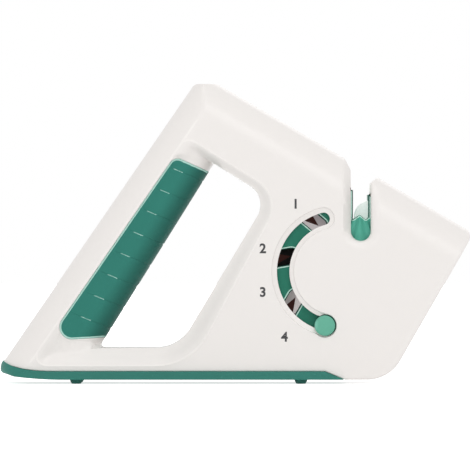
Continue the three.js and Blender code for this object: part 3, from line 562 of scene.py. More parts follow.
def handle_half(points, inset=0.0):
    """Half thickness of the handle bar, from its palm side outwards."""
    d = -line_distance(points, PALM, PALM_LEAN)
    t = np.clip((d - inset) / (BAR_ROUND - inset), 0, 1)
    rise = (BAR_RISE - inset) * np.sqrt(np.maximum(1 - (1 - t) ** 2, 0))
    bar = BAR_FLAT + rise + BAR_SLOPE * np.maximum(d - BAR_ROUND, 0)
    return np.where(d < inset - 2 * ON_LINE, NO_BAR, bar)


# Swelling of the shells from the handle's edge and from the top: start, gain and span.
HANDLE_SWELL = (9, 14.68, 14)
TOP_SWELL = (10, 13, 16)


class CasingForm:
    """Half thickness of a shell over the side view."""

    # Widths of the beads on the handle's and the pocket's ridge, and how much higher the latter is.
    HANDLE_BEAD = 0.75
    POCKET_BEAD = 0.55
    POCKET_BEAD_GAIN = 1.6

    # Slope of the pocket in degrees: at the ridge, what it gains by half way, and what it loses then.
    SLOPE = (19, 21, 20)
    SLOPE_STEPS = 60

    # Beside the bar's upper part the pocket starts as most of a quarter round instead: its depth,
    # the share of the round that is left out, the rest and that rest's height.
    ROUND_DEEP = 7
    ROUND_SKIP = 0.31
    ROUND_REST = 0.69
    ROUND_REST_HEIGHT = 0.951
    UPPER_FROM = 55
    UPPER_SPAN = 20
    BESIDE_FROM = 5
    BESIDE_SPAN = 6

    # Slope of the pocket's floor on into the finger hole, below and above.
    HOLE_SLOPE = (3, 30)

    # The white band above the grip stands higher than the bar.
    BAND_HIGH = 2.4

    # How softly the pocket meets the shell, and the bar, and how much less near the upper palm.
    RIM_SOFT = 0.5
    BAR_SOFT = 3.2
    BAR_SOFT_LESS = 2.4
    BAR_SOFT_SPAN = 12

    # Least half thickness of the shells, and of the grip's bed.
    LEAST_HALF = 4.0
    LEAST_BED = 3.5

    # Low lip of the shell round the grip.
    LIP_WIDTH = 0.7
    LIP_HIGH = 0.2

    def __init__(self, sizes, dial):
        self.sizes = sizes
        self.dial = dial
        self.ridge = rounded(ridge_corners(), LOOP_STEP)
        self.hole = rounded(hole_corners(), LOOP_STEP)
        self.grip = rounded(offset_corners(grip_corners(), GRIP_GAP), 0.4)
        self.fall = self.pocket_fall()
        self.under_edge, self.nose_edge = self.lower_edges()

    def pocket_fall(self):
        """How deep the pocket is at each share of its width, as a share of that width."""
        start, gain, loss = self.SLOPE
        steps = np.linspace(0, 1, self.SLOPE_STEPS)
        first_half = np.minimum(steps / 0.5, 1)
        slant = np.radians(start + gain * np.sin(first_half * math.pi / 2)
                           - loss * smooth((steps - 0.5) / 0.5))
        deep = np.cumsum(np.tan(slant[1:])) / (self.SLOPE_STEPS - 1)
        return steps, np.concatenate(((0,), deep))

    def lower_edges(self):
        """The edge along the base plate, and the edge from its ramp round the belly to the nose."""
        beyond = [((NOSE[0] - 30, 200), 0), ((-300, 200), 0), ((-300, 0), 0)]
        edge = rounded([(HEEL, 0), *under_corners(), *beyond], LOOP_STEP)
        nose_turn = np.argmin(np.abs(edge - (NOSE + (-1.6, 0.2))).sum(1))
        heel_turn = np.argmin(np.abs(edge - HEEL).sum(1))
        edge = np.roll(edge, -heel_turn, axis=0)[:nose_turn - heel_turn + 1]
        ramp_turn = np.argmin(np.abs(edge - (RAMP_X + RAMP, FOOT)).sum(1))
        return edge[:ramp_turn + 1], edge[ramp_turn:]

    def half(self, points):
        s = self.sizes
        from_handle = np.maximum(line_distance(points, HEEL, LEAN), 0)
        from_top = np.maximum(line_distance(points, NOSE, -FALL + math.pi) * -1, 0)
        handle_side = swelling(from_handle, *HANDLE_SWELL)
        handle_side += s.ridge_bead * bell(from_handle - HANDLE_RIDGE, self.HANDLE_BEAD)
        half = least(handle_side, swelling(from_top, *TOP_SWELL), s.ridge_softness)
        for line, width in ((self.nose_edge, s.edge_round), (self.under_edge, s.under_round)):
            half = half - quarter(distance_to(points, line, closed=False), width, width)
        half = self.knife(points, self.pocket(points, half))
        return self.dial_slot(points, half) if self.dial else self.recesses(points, half)

    def pocket(self, points, half):
        """The pocket round the finger hole, with the handle bar and the grip's bed in it."""
        to_ridge = distance_to(points, self.ridge)
        to_palm = line_distance(points, PALM, PALM_LEAN)
        upper = smooth((points[:, 1] - self.UPPER_FROM) / self.UPPER_SPAN)
        slope = self.pocket_slope(points, to_ridge, to_palm, upper)
        bar = handle_half(points) + self.band(points, to_palm)
        near_palm = 1 - smooth(-to_palm / self.BAR_SOFT_SPAN)
        lowered = most(slope, bar, self.BAR_SOFT - self.BAR_SOFT_LESS * upper * near_palm)
        lowered = least(lowered, half, self.RIM_SOFT)
        made = np.maximum(np.where(inside(points, self.ridge), lowered, half), self.LEAST_HALF)
        made = made + self.POCKET_BEAD_GAIN * self.sizes.ridge_bead * bell(to_ridge, self.POCKET_BEAD)
        to_grip = distance_to(points, self.grip)
        in_grip = inside(points, self.grip) & (to_grip > ON_LINE)
        lip = made + self.LIP_HIGH * np.sin(math.pi * np.clip(to_grip / self.LIP_WIDTH, 0, 1))
        bed = np.maximum(handle_half(points, GRIP_BED), self.LEAST_BED)
        return np.where(in_grip, bed, np.where(to_grip < self.LIP_WIDTH, lip, made))

    def pocket_slope(self, points, to_ridge, to_palm, upper):
        """The pocket's floor, falling from its ridge to the finger hole and on into it."""
        to_hole = distance_to(points, self.hole)
        in_hole = inside(points, self.hole) & (to_hole > 10 * ON_LINE)
        share = np.where(in_hole, 1.0, to_ridge / np.maximum(to_ridge + to_hole, 1e-6))
        width = np.where(in_hole, to_ridge - to_hole, to_ridge + to_hole)
        shallow = width * np.interp(share, *self.fall)
        turned = self.ROUND_REST * share + self.ROUND_SKIP
        steep = self.ROUND_DEEP * (1 - np.sqrt(np.maximum(1 - turned ** 2, 0)) / self.ROUND_REST_HEIGHT)
        beside_bar = smooth((self.BESIDE_FROM - to_palm) / self.BESIDE_SPAN) * upper
        drop = shallow + (np.maximum(steep, shallow) - shallow) * beside_bar
        gentle, more = self.HOLE_SLOPE
        return HALF - drop - np.where(in_hole, (gentle + more * upper) * to_hole, 0)

    def band(self, points, to_palm):
        above_grip = -line_distance(points, grip_corners()[3][0], GRIP_TOP)
        return self.BAND_HIGH * smooth((above_grip + 0.6) / 3.2) * smooth((-to_palm - 6) / 8)

    def knife(self, points, half):
        """The knife slot's edges: a flat bevel on the left, a wide round on the right."""
        dx = points[:, 0] - KNIFE_X
        dz = np.minimum(points[:, 1] - (KNIFE_LOW + KNIFE_HALF), 0)
        away = np.maximum(np.hypot(dx, dz) - KNIFE_HALF, 0)
        side = 0.5 + 0.5 * np.clip(dx / KNIFE_HALF, -1, 1)
        bevel_width, bevel_slope, bevel_soft = 2.8, 1.45, 0.7
        flat = most((bevel_width - away) * bevel_slope, 0 * away, bevel_soft)
        round_width, round_wider, round_deep = 3.1, 1.1, 2.6
        round_edge = quarter(away, round_width + round_wider * side ** 2, round_deep)
        share = smooth(1.6 * (1 - side) - 0.5) * smooth((points[:, 1] - KNIFE_LOW) / 6)
        return half - (share * flat + (1 - share) * round_edge)

    def dial_slot(self, points, half):
        """The shallow track with the knob's room, and the curved slot's edges in it."""
        room = KNOB_ROOM - np.hypot(*(points - KNOB_AT).T)
        within = np.maximum(TRACK_HALF - arc_distance(points, TRACK_R), room)
        half = half - TRACK_DEEP * smooth((within + 0.05) / 0.4)
        ring = arc_distance(points, DIAL_R)
        edge = self.sizes.slot_edge
        return half - quarter(np.maximum(ring - DIAL_HALF, 0), edge, edge)

    def recesses(self, points, half):
        edge = 0.4
        for at in screw_places():
            away = np.hypot(*(points - at).T)
            half = half - quarter(np.maximum(away - RECESS_R, 0), edge, edge)
            half = np.where(away < RECESS_R - ON_LINE, RECESS_HALF, half)
        return half


# Meshes and objects

# Points nearer than this are one point, in metres, and edges sharper than this stay sharp.
DOUBLED = 1e-6
SHARP = math.radians(32)


def linked(name, data):
    made = bpy.data.objects.new(name, data)
    bpy.context.scene.collection.objects.link(made)
    return made


def plain_mesh(name, points, polys=()):
    mesh = bpy.data.meshes.new(name)
    mesh.from_pydata([tuple(c * MM for c in p) for p in points], [], [list(map(int, p)) for p in polys])
    return mesh


def mend(mesh, weld=False, outwards=False):
    """Joins doubled points and turns the faces outwards, where asked."""
    shape = bmesh.new()
    shape.from_mesh(mesh)
    if weld:
        bmesh.ops.remove_doubles(shape, verts=shape.verts, dist=DOUBLED)
    if outwards:
        bmesh.ops.recalc_face_normals(shape, faces=shape.faces)
    shape.to_mesh(mesh)
    shape.free()


def finish_mesh(mesh, sharp=SHARP):
    mesh.polygons.foreach_set("use_smooth", [True] * len(mesh.polygons))
    mesh.set_sharp_from_angle(angle=sharp)
    mesh.update()


def mesh_object(name, points, polys, sharp=SHARP):
    mesh = plain_mesh(name, points, polys)
    mesh.validate()
    finish_mesh(mesh, sharp)
    return linked(name, mesh)


def moved_mesh(mesh, at, turn=Matrix.Identity(4)):
    """The mesh turned about zero and then moved to a place in millimetres."""
    mesh.transform(Matrix.Translation([c * MM for c in at]) @ turn)
    return mesh


def evaluated_mesh(piece):
    """A new mesh of the piece with its modifiers applied."""
    bpy.context.view_layer.update()
    graph = bpy.context.evaluated_depsgraph_get()
    return bpy.data.meshes.new_from_object(piece.evaluated_get(graph))


def apply_modifiers(piece):
    result = evaluated_mesh(piece)
    piece.modifiers.clear()
    piece.data = result
    finish_mesh(result)


def bevelled(piece, width, angle, segments=3):
    edge = piece.modifiers.new("Edge", "BEVEL")
    edge.width = width * MM
    edge.segments = segments
    edge.limit_method = "ANGLE"
    edge.angle_limit = math.radians(angle)
    apply_modifiers(piece)


def cut(piece, cutter):
    tool = linked("cutter", cutter)
    knife = piece.modifiers.new("Cut", "BOOLEAN")
    knife.operation = "DIFFERENCE"
    knife.solver = "EXACT"
    knife.object = tool
    apply_modifiers(piece)
    bpy.data.objects.remove(tool)


def face_facts(piece):
    faces = piece.data.polygons
    middles, normals = np.zeros(len(faces) * 3), np.zeros(len(faces) * 3)
    faces.foreach_get("center", middles)
    faces.foreach_get("normal", normals)
    return middles.reshape(-1, 3) / MM, normals.reshape(-1, 3)


def paint_faces(piece, finish, chosen):
    piece.data.materials.append(material(finish))
    finishes = np.zeros(len(piece.data.polygons), dtype=np.int32)
    piece.data.polygons.foreach_get("material_index", finishes)
    finishes[chosen] = len(piece.data.materials) - 1
    piece.data.polygons.foreach_set("material_index", finishes)


def dress(piece, body, slot, *nodes, finish=None):
    """Gives a piece its body and its finish (the slot's, if not named), and hides the nodes it replaces."""
    piece.data.materials.clear()
    piece.data.materials.append(material(finish or slot))
    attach(piece, body)
    if nodes:
        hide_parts(*nodes)
    return piece


def turned_mesh(name, profile, sides, bore=False):
    """A mesh turned about z from (radius, z) points; with a bore the profile is a closed line."""
    points, polys = [], []
    rings = []
    for radius, z in profile:
        if radius < 1e-6:
            rings.append([len(points)])
            points.append((0, 0, z))
        else:
            rings.append(list(range(len(points), len(points) + sides)))
            turns = (2 * math.pi * k / sides for k in range(sides))
            points += [(radius * math.cos(t), radius * math.sin(t), z) for t in turns]
    if bore:
        rings.append(rings[0])
    for a, b in zip(rings, rings[1:]):
        for k in range(sides):
            n = (k + 1) % sides
            corners = dict.fromkeys((a[k % len(a)], a[n % len(a)], b[n % len(b)], b[k % len(b)]))
            if len(corners) > 2:
                polys.append(tuple(corners))
    mesh = plain_mesh(name, points, polys)
    mend(mesh, outwards=True)
    finish_mesh(mesh)
    return mesh


# A solid between two height fields over the side view

class Field:
    """Points and lines for one triangulation of the side view."""

    # Loose points keep this share of their spacing from the points that are there before them.
    ROW_ROOM = 0.55
    GRID_ROOM = 0.7

    def __init__(self, loops, step=0.8):
        self.loops = [divided(np.asarray(loop), step) for loop in loops]
        self.lines = []
        self.free = []

    def rows(self, line, offsets, step=0.8, closed=True):
        """Points beside a line, at distances to its left."""
        line = divided(np.asarray(line), step, closed)
        a = np.roll(line, 1, axis=0) if closed else np.vstack((line[:1], line[:-1]))
        b = np.roll(line, -1, axis=0) if closed else np.vstack((line[1:], line[-1:]))
        d = b - a
        n = np.stack((-d[:, 1], d[:, 0]), 1)
        n /= np.maximum(np.linalg.norm(n, axis=1), 1e-9)[:, None]
        for offset in sorted(offsets, key=abs):
            gaps = sorted(abs(offset - other) for other in offsets if other != offset) or [step]
            self.free.append((line + n * offset, self.ROW_ROOM * min(gaps[0], step)))

    def crease(self, line, closed=True, step=0.8):
        """A line that edges of the triangulation follow."""
        self.lines.append((divided(np.asarray(line), step, closed), closed))

    def grid(self, step, low, high):
        """Points in staggered rows over a whole area."""
        xs = np.arange(low[0], high[0], step)
        zs = np.arange(low[1], high[1], step * 0.866)
        x, z = np.meshgrid(xs, zs)
        x = x + (np.arange(len(zs)) % 2)[:, None] * step / 2
        self.free.append((np.stack((x.ravel(), z.ravel()), 1), self.GRID_ROOM * step))

    def covers(self, points):
        """Which points are inside the outline and outside its holes."""
        found = inside(points, self.loops[0])
        for loop in self.loops[1:]:
            found &= ~inside(points, loop)
        return found

    def triangulate(self):
        fixed, edges = [], []
        for line, closed in [(loop, True) for loop in self.loops] + self.lines:
            start = len(fixed)
            fixed.extend(line)
            count = len(line)
            edges += [(start + i, start + (i + 1) % count) for i in range(count if closed else count - 1)]
        made = delaunay_2d_cdt([Vector(p) for p in self.with_loose_points(fixed)], edges, [], 0, 1e-5)
        verts = np.array([tuple(v) for v in made[0]])
        faces = np.array([f for f in made[2] if len(f) == 3])
        faces = faces[self.covers(verts[faces].mean(1))]
        a, b, c = (verts[faces[:, k]] for k in range(3))
        area = (b[:, 0] - a[:, 0]) * (c[:, 1] - a[:, 1]) - (b[:, 1] - a[:, 1]) * (c[:, 0] - a[:, 0])
        faces = np.where((area < 0)[:, None], faces[:, ::-1], faces)
        return verts, faces[np.abs(area) > 1e-9]

    def with_loose_points(self, fixed):
        """The fixed points and the loose ones that aren't too near to those before them."""
        kept = list(fixed)
        for points, reach in self.free:
            points = points[self.covers(points)]
            if not len(points):
                continue
            tree = KDTree(len(kept))
            for i, p in enumerate(kept):
                tree.insert((p[0], p[1], 0), i)
            tree.balance()
            kept += [p for p in points if tree.find((p[0], p[1], 0))[2] > reach]
        return kept


def coarse(verts, edges, keep):
    """Triangles over a flat region from its border edges alone."""
    used = sorted({i for e in edges for i in e})
    place = {v: k for k, v in enumerate(used)}
    made = delaunay_2d_cdt(
        [Vector(verts[i]) for i in used], [(place[a], place[b]) for a, b in edges], [], 0, 1e-7)
    if len(made[0]) != len(used):
        raise RuntimeError("the border of a flat region crosses itself")
    faces = []
    for f in made[2]:
        tri = [used[made[3][i][0]] for i in f]
        p = verts[tri]
        if cross(p[1] - p[0], p[2] - p[0]) < 0:
            tri.reverse()
        faces.append(tri)
    faces = np.array(faces)
    return faces[keep(verts[faces].mean(1))]


class FieldSolid:
    """A closed mesh between an outer height and flat inner levels, on one side of the mid-plane.

    levels is a list of (loop or None, inner half thickness), the first for what no loop holds.
    edge is the width of the slanted edge along the first level's outline.
    """

    def __init__(self, field, half, levels, side, edge=0.0):
        self.field, self.levels, self.side, self.edge = field, levels, side, edge
        self.verts, faces = field.triangulate()
        self.points = [(x, side * h, z) for (x, z), h in zip(self.verts, half(self.verts))]
        self.polys = [tuple(f) for f in faces]
        level = self.level_at(self.verts[faces].mean(1))
        self.owner = {(f[i], f[(i + 1) % 3]): k for k, f in zip(level, faces) for i in range(3)}
        self.inward = self.inward_normals() if edge > 0 else {}
        self.made = {}
        for k in range(len(levels)):
            self.close_level(k)
        if edge > 0:
            self.close_corners()

    def level_at(self, points):
        found = np.zeros(len(points), int)
        for k, (loop, _) in enumerate(self.levels):
            if loop is not None:
                found[inside(points, loop)] = k
        return found

    def inward_normals(self):
        """At each point of the first level's outline, the sum of its edges' inward normals."""
        inward = {}
        for (a, b), k in self.owner.items():
            if k == 0 and (b, a) not in self.owner:
                d = self.verts[b] - self.verts[a]
                normal = np.array((-d[1], d[0])) / np.linalg.norm(d)
                inward[a] = inward.get(a, 0) + normal
                inward[b] = inward.get(b, 0) + normal
        return inward

    def lower(self, i, k):
        """The point of a level's inner face that belongs to an outer point."""
        if (i, k) not in self.made:
            self.made[(i, k)] = len(self.points)
            x, z = self.verts[i]
            if k == 0 and i in self.inward:
                x, z = self.verts[i] + self.edge * self.inward[i] / np.linalg.norm(self.inward[i])
            self.points.append((x, self.side * self.levels[k][1], z))
        return self.made[(i, k)]

    def brink(self, i):
        """The point where the slanted edge begins, under an outer point."""
        if (i, "brink") not in self.made:
            self.made[(i, "brink")] = len(self.points)
            x, z = self.verts[i]
            self.points.append((x, self.side * (self.levels[0][1] + self.edge), z))
        return self.made[(i, "brink")]

    def close_level(self, k):
        """Makes one level's inner face and the walls round it."""
        border = [(a, b) for (a, b), o in self.owner.items() if o == k and self.owner.get((b, a)) != k]
        if not border:
            return
        lower, brink = self.lower, self.brink
        level = coarse(
            self.verts, border, lambda points: self.field.covers(points) & (self.level_at(points) == k))
        self.polys += [tuple(lower(i, k) for i in tri[::-1]) for tri in level]
        for a, b in border:
            other = self.owner.get((b, a))
            if other is None and k == 0 and self.edge > 0:
                self.polys.append((b, a, brink(a), brink(b)))
                self.polys.append((brink(b), brink(a), lower(a, 0), lower(b, 0)))
            elif other is None:
                self.polys.append((b, a, lower(a, k), lower(b, k)))
            elif other > k:
                self.polys.append((lower(a, k), lower(b, k), lower(b, other), lower(a, other)))

    def close_corners(self):
        outline = [(a, b, k) for (a, b), k in self.owner.items() if (b, a) not in self.owner]
        starts, ends = {a: k for a, _, k in outline}, {b: k for _, b, k in outline}
        lower, brink = self.lower, self.brink
        for i in starts:
            if starts[i] == 0 and ends.get(i, 0) > 0:
                self.polys.append((brink(i), i, lower(i, ends[i]), lower(i, 0)))
            elif starts[i] > 0 and ends.get(i, 1) == 0:
                self.polys.append((i, brink(i), lower(i, 0), lower(i, starts[i])))

    def piece(self, name):
        polys = [p[::-1] for p in self.polys] if self.side > 0 else self.polys
        return mesh_object(name, self.points, polys)


# Node helpers

def feed(tree, socket, value):
    """Links another socket to this one, or sets a plain value."""
    if isinstance(value, bpy.types.NodeSocket):
        tree.links.new(value, socket)
    else:
        socket.default_value = value


def maths(tree, operation, *values, clamp=False):
    node = tree.nodes.new("ShaderNodeMath")
    node.operation = operation
    node.use_clamp = clamp
    for socket, value in zip(node.inputs, values):
        feed(tree, socket, value)
    return node.outputs[0]


def vector_maths(tree, operation, *values, scale=None):
    node = tree.nodes.new("ShaderNodeVectorMath")
    node.operation = operation
    for socket, value in zip(node.inputs, values):
        feed(tree, socket, value)
    if scale is not None:
        feed(tree, node.inputs["Scale"], scale)
    return node.outputs["Value" if operation in ("LENGTH", "DOT_PRODUCT") else "Vector"]


def noise(tree, vector, scale, detail=2.0, roughness=0.5):
    node = tree.nodes.new("ShaderNodeTexNoise")
    for label, value in (("Vector", vector), ("Scale", scale), ("Detail", detail), ("Roughness", roughness)):
        feed(tree, node.inputs[label], value)
    return node.outputs["Fac"]


def soft_step(tree, value, near, far):
    """One up to the near value, falling softly to nothing at the far value."""
    fall = tree.nodes.new("ShaderNodeMapRange")
    fall.interpolation_type = "SMOOTHSTEP"
    for label, given in (
            ("Value", value), ("From Min", near), ("From Max", far), ("To Min", 1.0), ("To Max", 0.0)):
        feed(tree, fall.inputs[label], given)
    return fall.outputs["Result"]


def blend_colours(tree, mask, base, other):
    mix = tree.nodes.new("ShaderNodeMix")
    mix.data_type = "RGBA"
    feed(tree, mix.inputs["Factor"], mask)
    feed(tree, mix.inputs["A"], base)
    feed(tree, mix.inputs["B"], other)
    return mix.outputs["Result"]


def cleared(owner):
    """The emptied node tree of a material or a world."""
    owner.use_nodes = True
    owner.node_tree.nodes.clear()
    return owner.node_tree


# Shader groups

COLOUR_AND_MASK = [("Colour", "NodeSocketColor"), ("Mask", "NodeSocketFloat")]
WHITE = (1, 1, 1, 1)


def shader_group(name, inputs, outputs):
    group = bpy.data.node_groups.new(name, "ShaderNodeTree")
    for label, kind, default in inputs:
        socket = group.interface.new_socket(label, in_out="INPUT", socket_type=kind)
        if default is not None:
            socket.default_value = default
    for label, kind in outputs:
        group.interface.new_socket(label, in_out="OUTPUT", socket_type=kind)
    given, result = group.nodes.new("NodeGroupInput"), group.nodes.new("NodeGroupOutput")
    return group, given.outputs, result.inputs


def grain_group():
    group, given, result = shader_group(
        "MouldedGrain",
        [("Vector", "NodeSocketVector", None), ("Scale", "NodeSocketFloat", 1500.0),
         ("Coarse Share", "NodeSocketFloat", 0.3)],
        [("Height", "NodeSocketFloat")])
    broad_scale = maths(group, "MULTIPLY", given["Scale"], 0.16)
    fine = noise(group, given["Vector"], given["Scale"], 3.0, 0.55)
    broad = noise(group, given["Vector"], broad_scale, 2.0)
    share = given["Coarse Share"]
    mixed = maths(group, "ADD", maths(group, "MULTIPLY", fine, maths(group, "SUBTRACT", 1.0, share)),
                  maths(group, "MULTIPLY", broad, share))
    feed(group, result["Height"], mixed)
    return group


def tone_group():
    """Slow change of colour over a moulded surface."""
    group, given, result = shader_group(
        "MouldedTone",
        [("Vector", "NodeSocketVector", None), ("Colour", "NodeSocketColor", (0.5, 0.5, 0.5, 1)),
         ("Scale", "NodeSocketFloat", 18.0), ("Amount", "NodeSocketFloat", 0.04)],
        COLOUR_AND_MASK)
    cloud = noise(group, given["Vector"], given["Scale"], 4.0, 0.6)
    swing = maths(group, "MULTIPLY", maths(group, "SUBTRACT", cloud, 0.5), given["Amount"])
    bright = maths(group, "ADD", swing, 1.0)
    feed(group, result["Colour"], vector_maths(group, "SCALE", given["Colour"], scale=bright))
    feed(group, result["Mask"], cloud)
    return group


def speck_group():
    group, given, result = shader_group(
        "FineSpecks",
        [("Vector", "NodeSocketVector", None), ("Scale", "NodeSocketFloat", 900.0),
         ("Threshold", "NodeSocketFloat", 0.68)],
        [("Mask", "NodeSocketFloat")])
    specks = noise(group, given["Vector"], given["Scale"], 1.0)
    over = maths(group, "SUBTRACT", specks, given["Threshold"])
    feed(group, result["Mask"], maths(group, "MULTIPLY", over, 9.0, clamp=True))
    return group


def masked_group(name, measure):
    """Another colour near a place, by a measure of the way from it along given axes; the finishes use it for
    painted light and shade.
    """
    group, given, result = shader_group(
        name,
        [(label, "NodeSocketVector", None) for label in ("Vector", "Place", "Axes")]
        + [(label, "NodeSocketFloat", 0.0) for label in ("Near", "Far")]
        + [(label, "NodeSocketColor", WHITE) for label in ("Colour", "Other")],
        COLOUR_AND_MASK)
    gap = vector_maths(group, "SUBTRACT", given["Vector"], given["Place"])
    mask = soft_step(group, measure(group, gap, given["Axes"]), given["Near"], given["Far"])
    feed(group, result["Colour"], blend_colours(group, mask, given["Colour"], given["Other"]))
    feed(group, result["Mask"], mask)
    return group


def spot_group():
    """A soft spot of another colour, its width along each axis set by the axes."""
    return masked_group("SoftPatch", lambda group, gap, axes: vector_maths(
        group, "LENGTH", vector_maths(group, "MULTIPLY", gap, axes)))


def band_group():
    """Another colour on one side of a plane, by distance along a direction."""
    return masked_group("SideBand", lambda group, gap, axes: vector_maths(group, "DOT_PRODUCT", gap, axes))


GROUPS = {}


def use_group(tree, make, **values):
    """A node that uses a shader group, made at its first use."""
    if make not in GROUPS:
        GROUPS[make] = make()
    node = tree.nodes.new("ShaderNodeGroup")
    node.node_tree = GROUPS[make]
    for label, value in values.items():
        feed(tree, node.inputs[label], value)
    return node.outputs


# Finishes

# How far the gloss swings with the grain, and specks against the grain: size, gain and lift in tone.
GLOSS_SPREAD = 0.06
SPECK_SIZE = 0.6
SPECK_GAIN = 2.2
SPECK_LIFT = 0.05


def moulded(name, colour, roughness, texture, specks=0.0, metallic=0.0, specular=0.5, glow=0.0,
            painted_light=None):
    """A moulded or ground surface: slow tone, fine grain, uneven gloss and sparse specks.

    texture is the tone's amount and scale, the grain's scale and the height of its bumps.
    painted_light is painted light or shade on a part of it: group, place, axes, near and far distance,
    colour. glow is painted light too: the surface shines with its own colour.
    """
    tone, tone_scale, grain, bump = texture
    paint = bpy.data.materials.new(name)
    tree = cleared(paint)
    shader = tree.nodes.new("ShaderNodeBsdfPrincipled")
    feed(tree, tree.nodes.new("ShaderNodeOutputMaterial").inputs[0], shader.outputs[0])
    place = tree.nodes.new("ShaderNodeTexCoord").outputs["Object"]
    toned = use_group(tree, tone_group, Vector=place, Colour=(*colour, 1), Scale=tone_scale, Amount=tone)
    height = use_group(tree, grain_group, Vector=place, Scale=grain)["Height"]
    base = toned["Colour"]
    if painted_light:
        make, at, axes, near, far, other = painted_light
        base = use_group(
            tree, make, Vector=place, Place=at, Axes=axes, Near=near * MM, Far=far * MM,
            Colour=base, Other=(*other, 1))["Colour"]
    if specks:
        mask = use_group(tree, speck_group, Vector=place, Scale=grain * SPECK_SIZE)["Mask"]
        light = (*[min(1.0, c * SPECK_GAIN + SPECK_LIFT) for c in colour], 1)
        base = blend_colours(tree, maths(tree, "MULTIPLY", mask, specks), base, light)
    swing = maths(tree, "MULTIPLY", maths(tree, "SUBTRACT", height, 0.5), GLOSS_SPREAD * 2)
    broad = maths(tree, "MULTIPLY", maths(tree, "SUBTRACT", toned["Mask"], 0.5), GLOSS_SPREAD)
    rough = maths(tree, "ADD", maths(tree, "ADD", swing, broad), roughness, clamp=True)
    raised = tree.nodes.new("ShaderNodeBump")
    for label, value in (("Strength", 1.0), ("Distance", bump * MM), ("Height", height)):
        feed(tree, raised.inputs[label], value)
    for label, value in (
            ("Base Color", base), ("Roughness", rough), ("Normal", raised.outputs[0]),
            ("Metallic", metallic), ("Specular IOR Level", specular),
            ("Emission Color", base), ("Emission Strength", glow)):
        feed(tree, shader.inputs[label], value)
    return paint


def shaded(colour, share):
    return tuple(share * c for c in colour)


# Painted shade: the far plate of each pair gets its colour at half strength.
def far_plate_shade(colour):
    return (band_group, (0, 0, 0), (0, -1, 0), -0.1, 0.1, shaded(colour, 0.5))


FINISHES = {}
MATERIALS = {}


def finish(make):
    """Keeps a function as the maker of the finish that has its name."""
    FINISHES[make.__name__] = make
    return make


def material(name):
    """The finish of one name, made once. The record's slots are among the names."""
    if name not in MATERIALS:
        MATERIALS[name] = FINISHES[name](bpy.context.scene.sharpener_colours)
    return MATERIALS[name]


# Textures of the white shells, and of the knob with the painted shade round it and along the drum's rim.
SHELL = (0.02, 9.0, 2600.0, 0.004)
DARK = (0.1, 120.0, 2400.0, 0.008)


@finish
def casing_plastic(c):
    return moulded("CasingPlastic", c.casing, 0.34, SHELL)


# Painted highlight: the shells' white made a little lighter, for the ridges where a fine bead catches the
# light.
@finish
def casing_ridge_highlight(c):
    return moulded("CasingRidgeHighlight", shaded(c.casing, 1.05), 0.34, SHELL)


# Painted light: the knife slot's walls glow a little, standing in for light that reaches them in the slot.
@finish
def slot_wall_glow(c):
    return moulded("SlotWallGlow", c.casing, 0.4, SHELL, glow=0.3)


# Painted shade: the inner faces of the drum's room are dark brown, with a little glow, where the plastic is
# white.
@finish
def casing_inside_shade(c):
    return moulded("CasingInsideShade", c.inside, 0.6, (0.2, 60.0, 1800.0, 0.02), specular=0.1, glow=0.3)


@finish
def grip_rubber(c):
    """Rubber with painted shade towards the palm side, where its round turns away from the light."""
    x, z = heading(PALM_LEAN + math.pi / 2)
    painted_shade = (band_group, (PALM[0] * MM, 0, PALM[1] * MM), (x, 0, z), 1.5, 10.5, shaded(c.grip, 0.62))
    return moulded("GripRubber", c.grip, 0.6, (0.14, 25.0, 2200.0, 0.02), specks=0.1, specular=0.2,
                   painted_light=painted_shade)


# A painted highlight along the grip's edge and on the lower lips of its grooves.
@finish
def grip_highlight(c):
    return moulded("GripHighlight", c.grip_highlight, 0.6, (0.2, 90.0, 2200.0, 0.02), specular=0.2)


@finish
def base_plastic(c):
    return moulded("BasePlastic", c.base, 0.5, (0.3, 90.0, 1400.0, 0.05), specks=0.2, specular=0.35)


@finish
def foot_rubber(c):
    return moulded("FootRubber", c.base, 0.6, (0.15, 90.0, 1800.0, 0.03), specks=0.2)


@finish
def drum_plastic(c):
    """Green plastic, with a paler patch painted on the scissor guide as a highlight for the light on its
    flutes.
    """
    guide = (spot_group, (KNIFE_X * MM, 0, (DRUM_AT[1] + 18) * MM), (1, 0, 0.42), 4.5, 7.8, c.guide)
    return moulded("DrumPlastic", c.drum, 0.4, (0.1, 60.0, 2000.0, 0.01), specular=0.2, painted_light=guide)


# Painted highlight on the rounded edges of the drum.
@finish
def drum_edge_highlight(c):
    return moulded("DrumEdgeHighlight", c.drum_edge_highlight, 0.35, (0.2, 200.0, 2000.0, 0.01))


# Painted shade: a dark line right at the drum's edges.
@finish
def drum_rim_shade(c):
    return moulded("DrumRimShade", c.collar, 0.5, DARK, specular=0.2)


# Painted shadow: the dark ring under the knob.
@finish
def knob_shadow_ring(c):
    return moulded("KnobShadowRing", c.collar, 0.5, DARK, specular=0.2)


@finish
def knob_plastic(c):
    """Mint plastic with a painted highlight to the left of its middle."""
    at = tuple(KNOB * MM + np.array((-4.6, 0, 0.6)) * MM)
    spot = (spot_group, at, (1, 0, 0.45), 0.5, 2.2, c.knob_highlight)
    return moulded("KnobPlastic", c.knob, 0.42, DARK, painted_light=spot)


@finish
def steel(c):
    return moulded("PlatedSteel", c.steel, 0.32, (0.1, 60.0, 1800.0, 0.004), metallic=0.9)


# Painted light: the plates glow a little deep in their channels, and the far ones are painted in shade.
@finish
def carbide(c):
    return moulded("GroundCarbide", c.carbide, 0.38, (0.35, 260.0, 2600.0, 0.01), glow=0.6,
                   painted_light=far_plate_shade(c.carbide))


@finish
def diamond_coating(c):
    return moulded("DiamondGrit", c.diamond, 0.6, (0.3, 200.0, 3000.0, 0.05), specks=0.3)


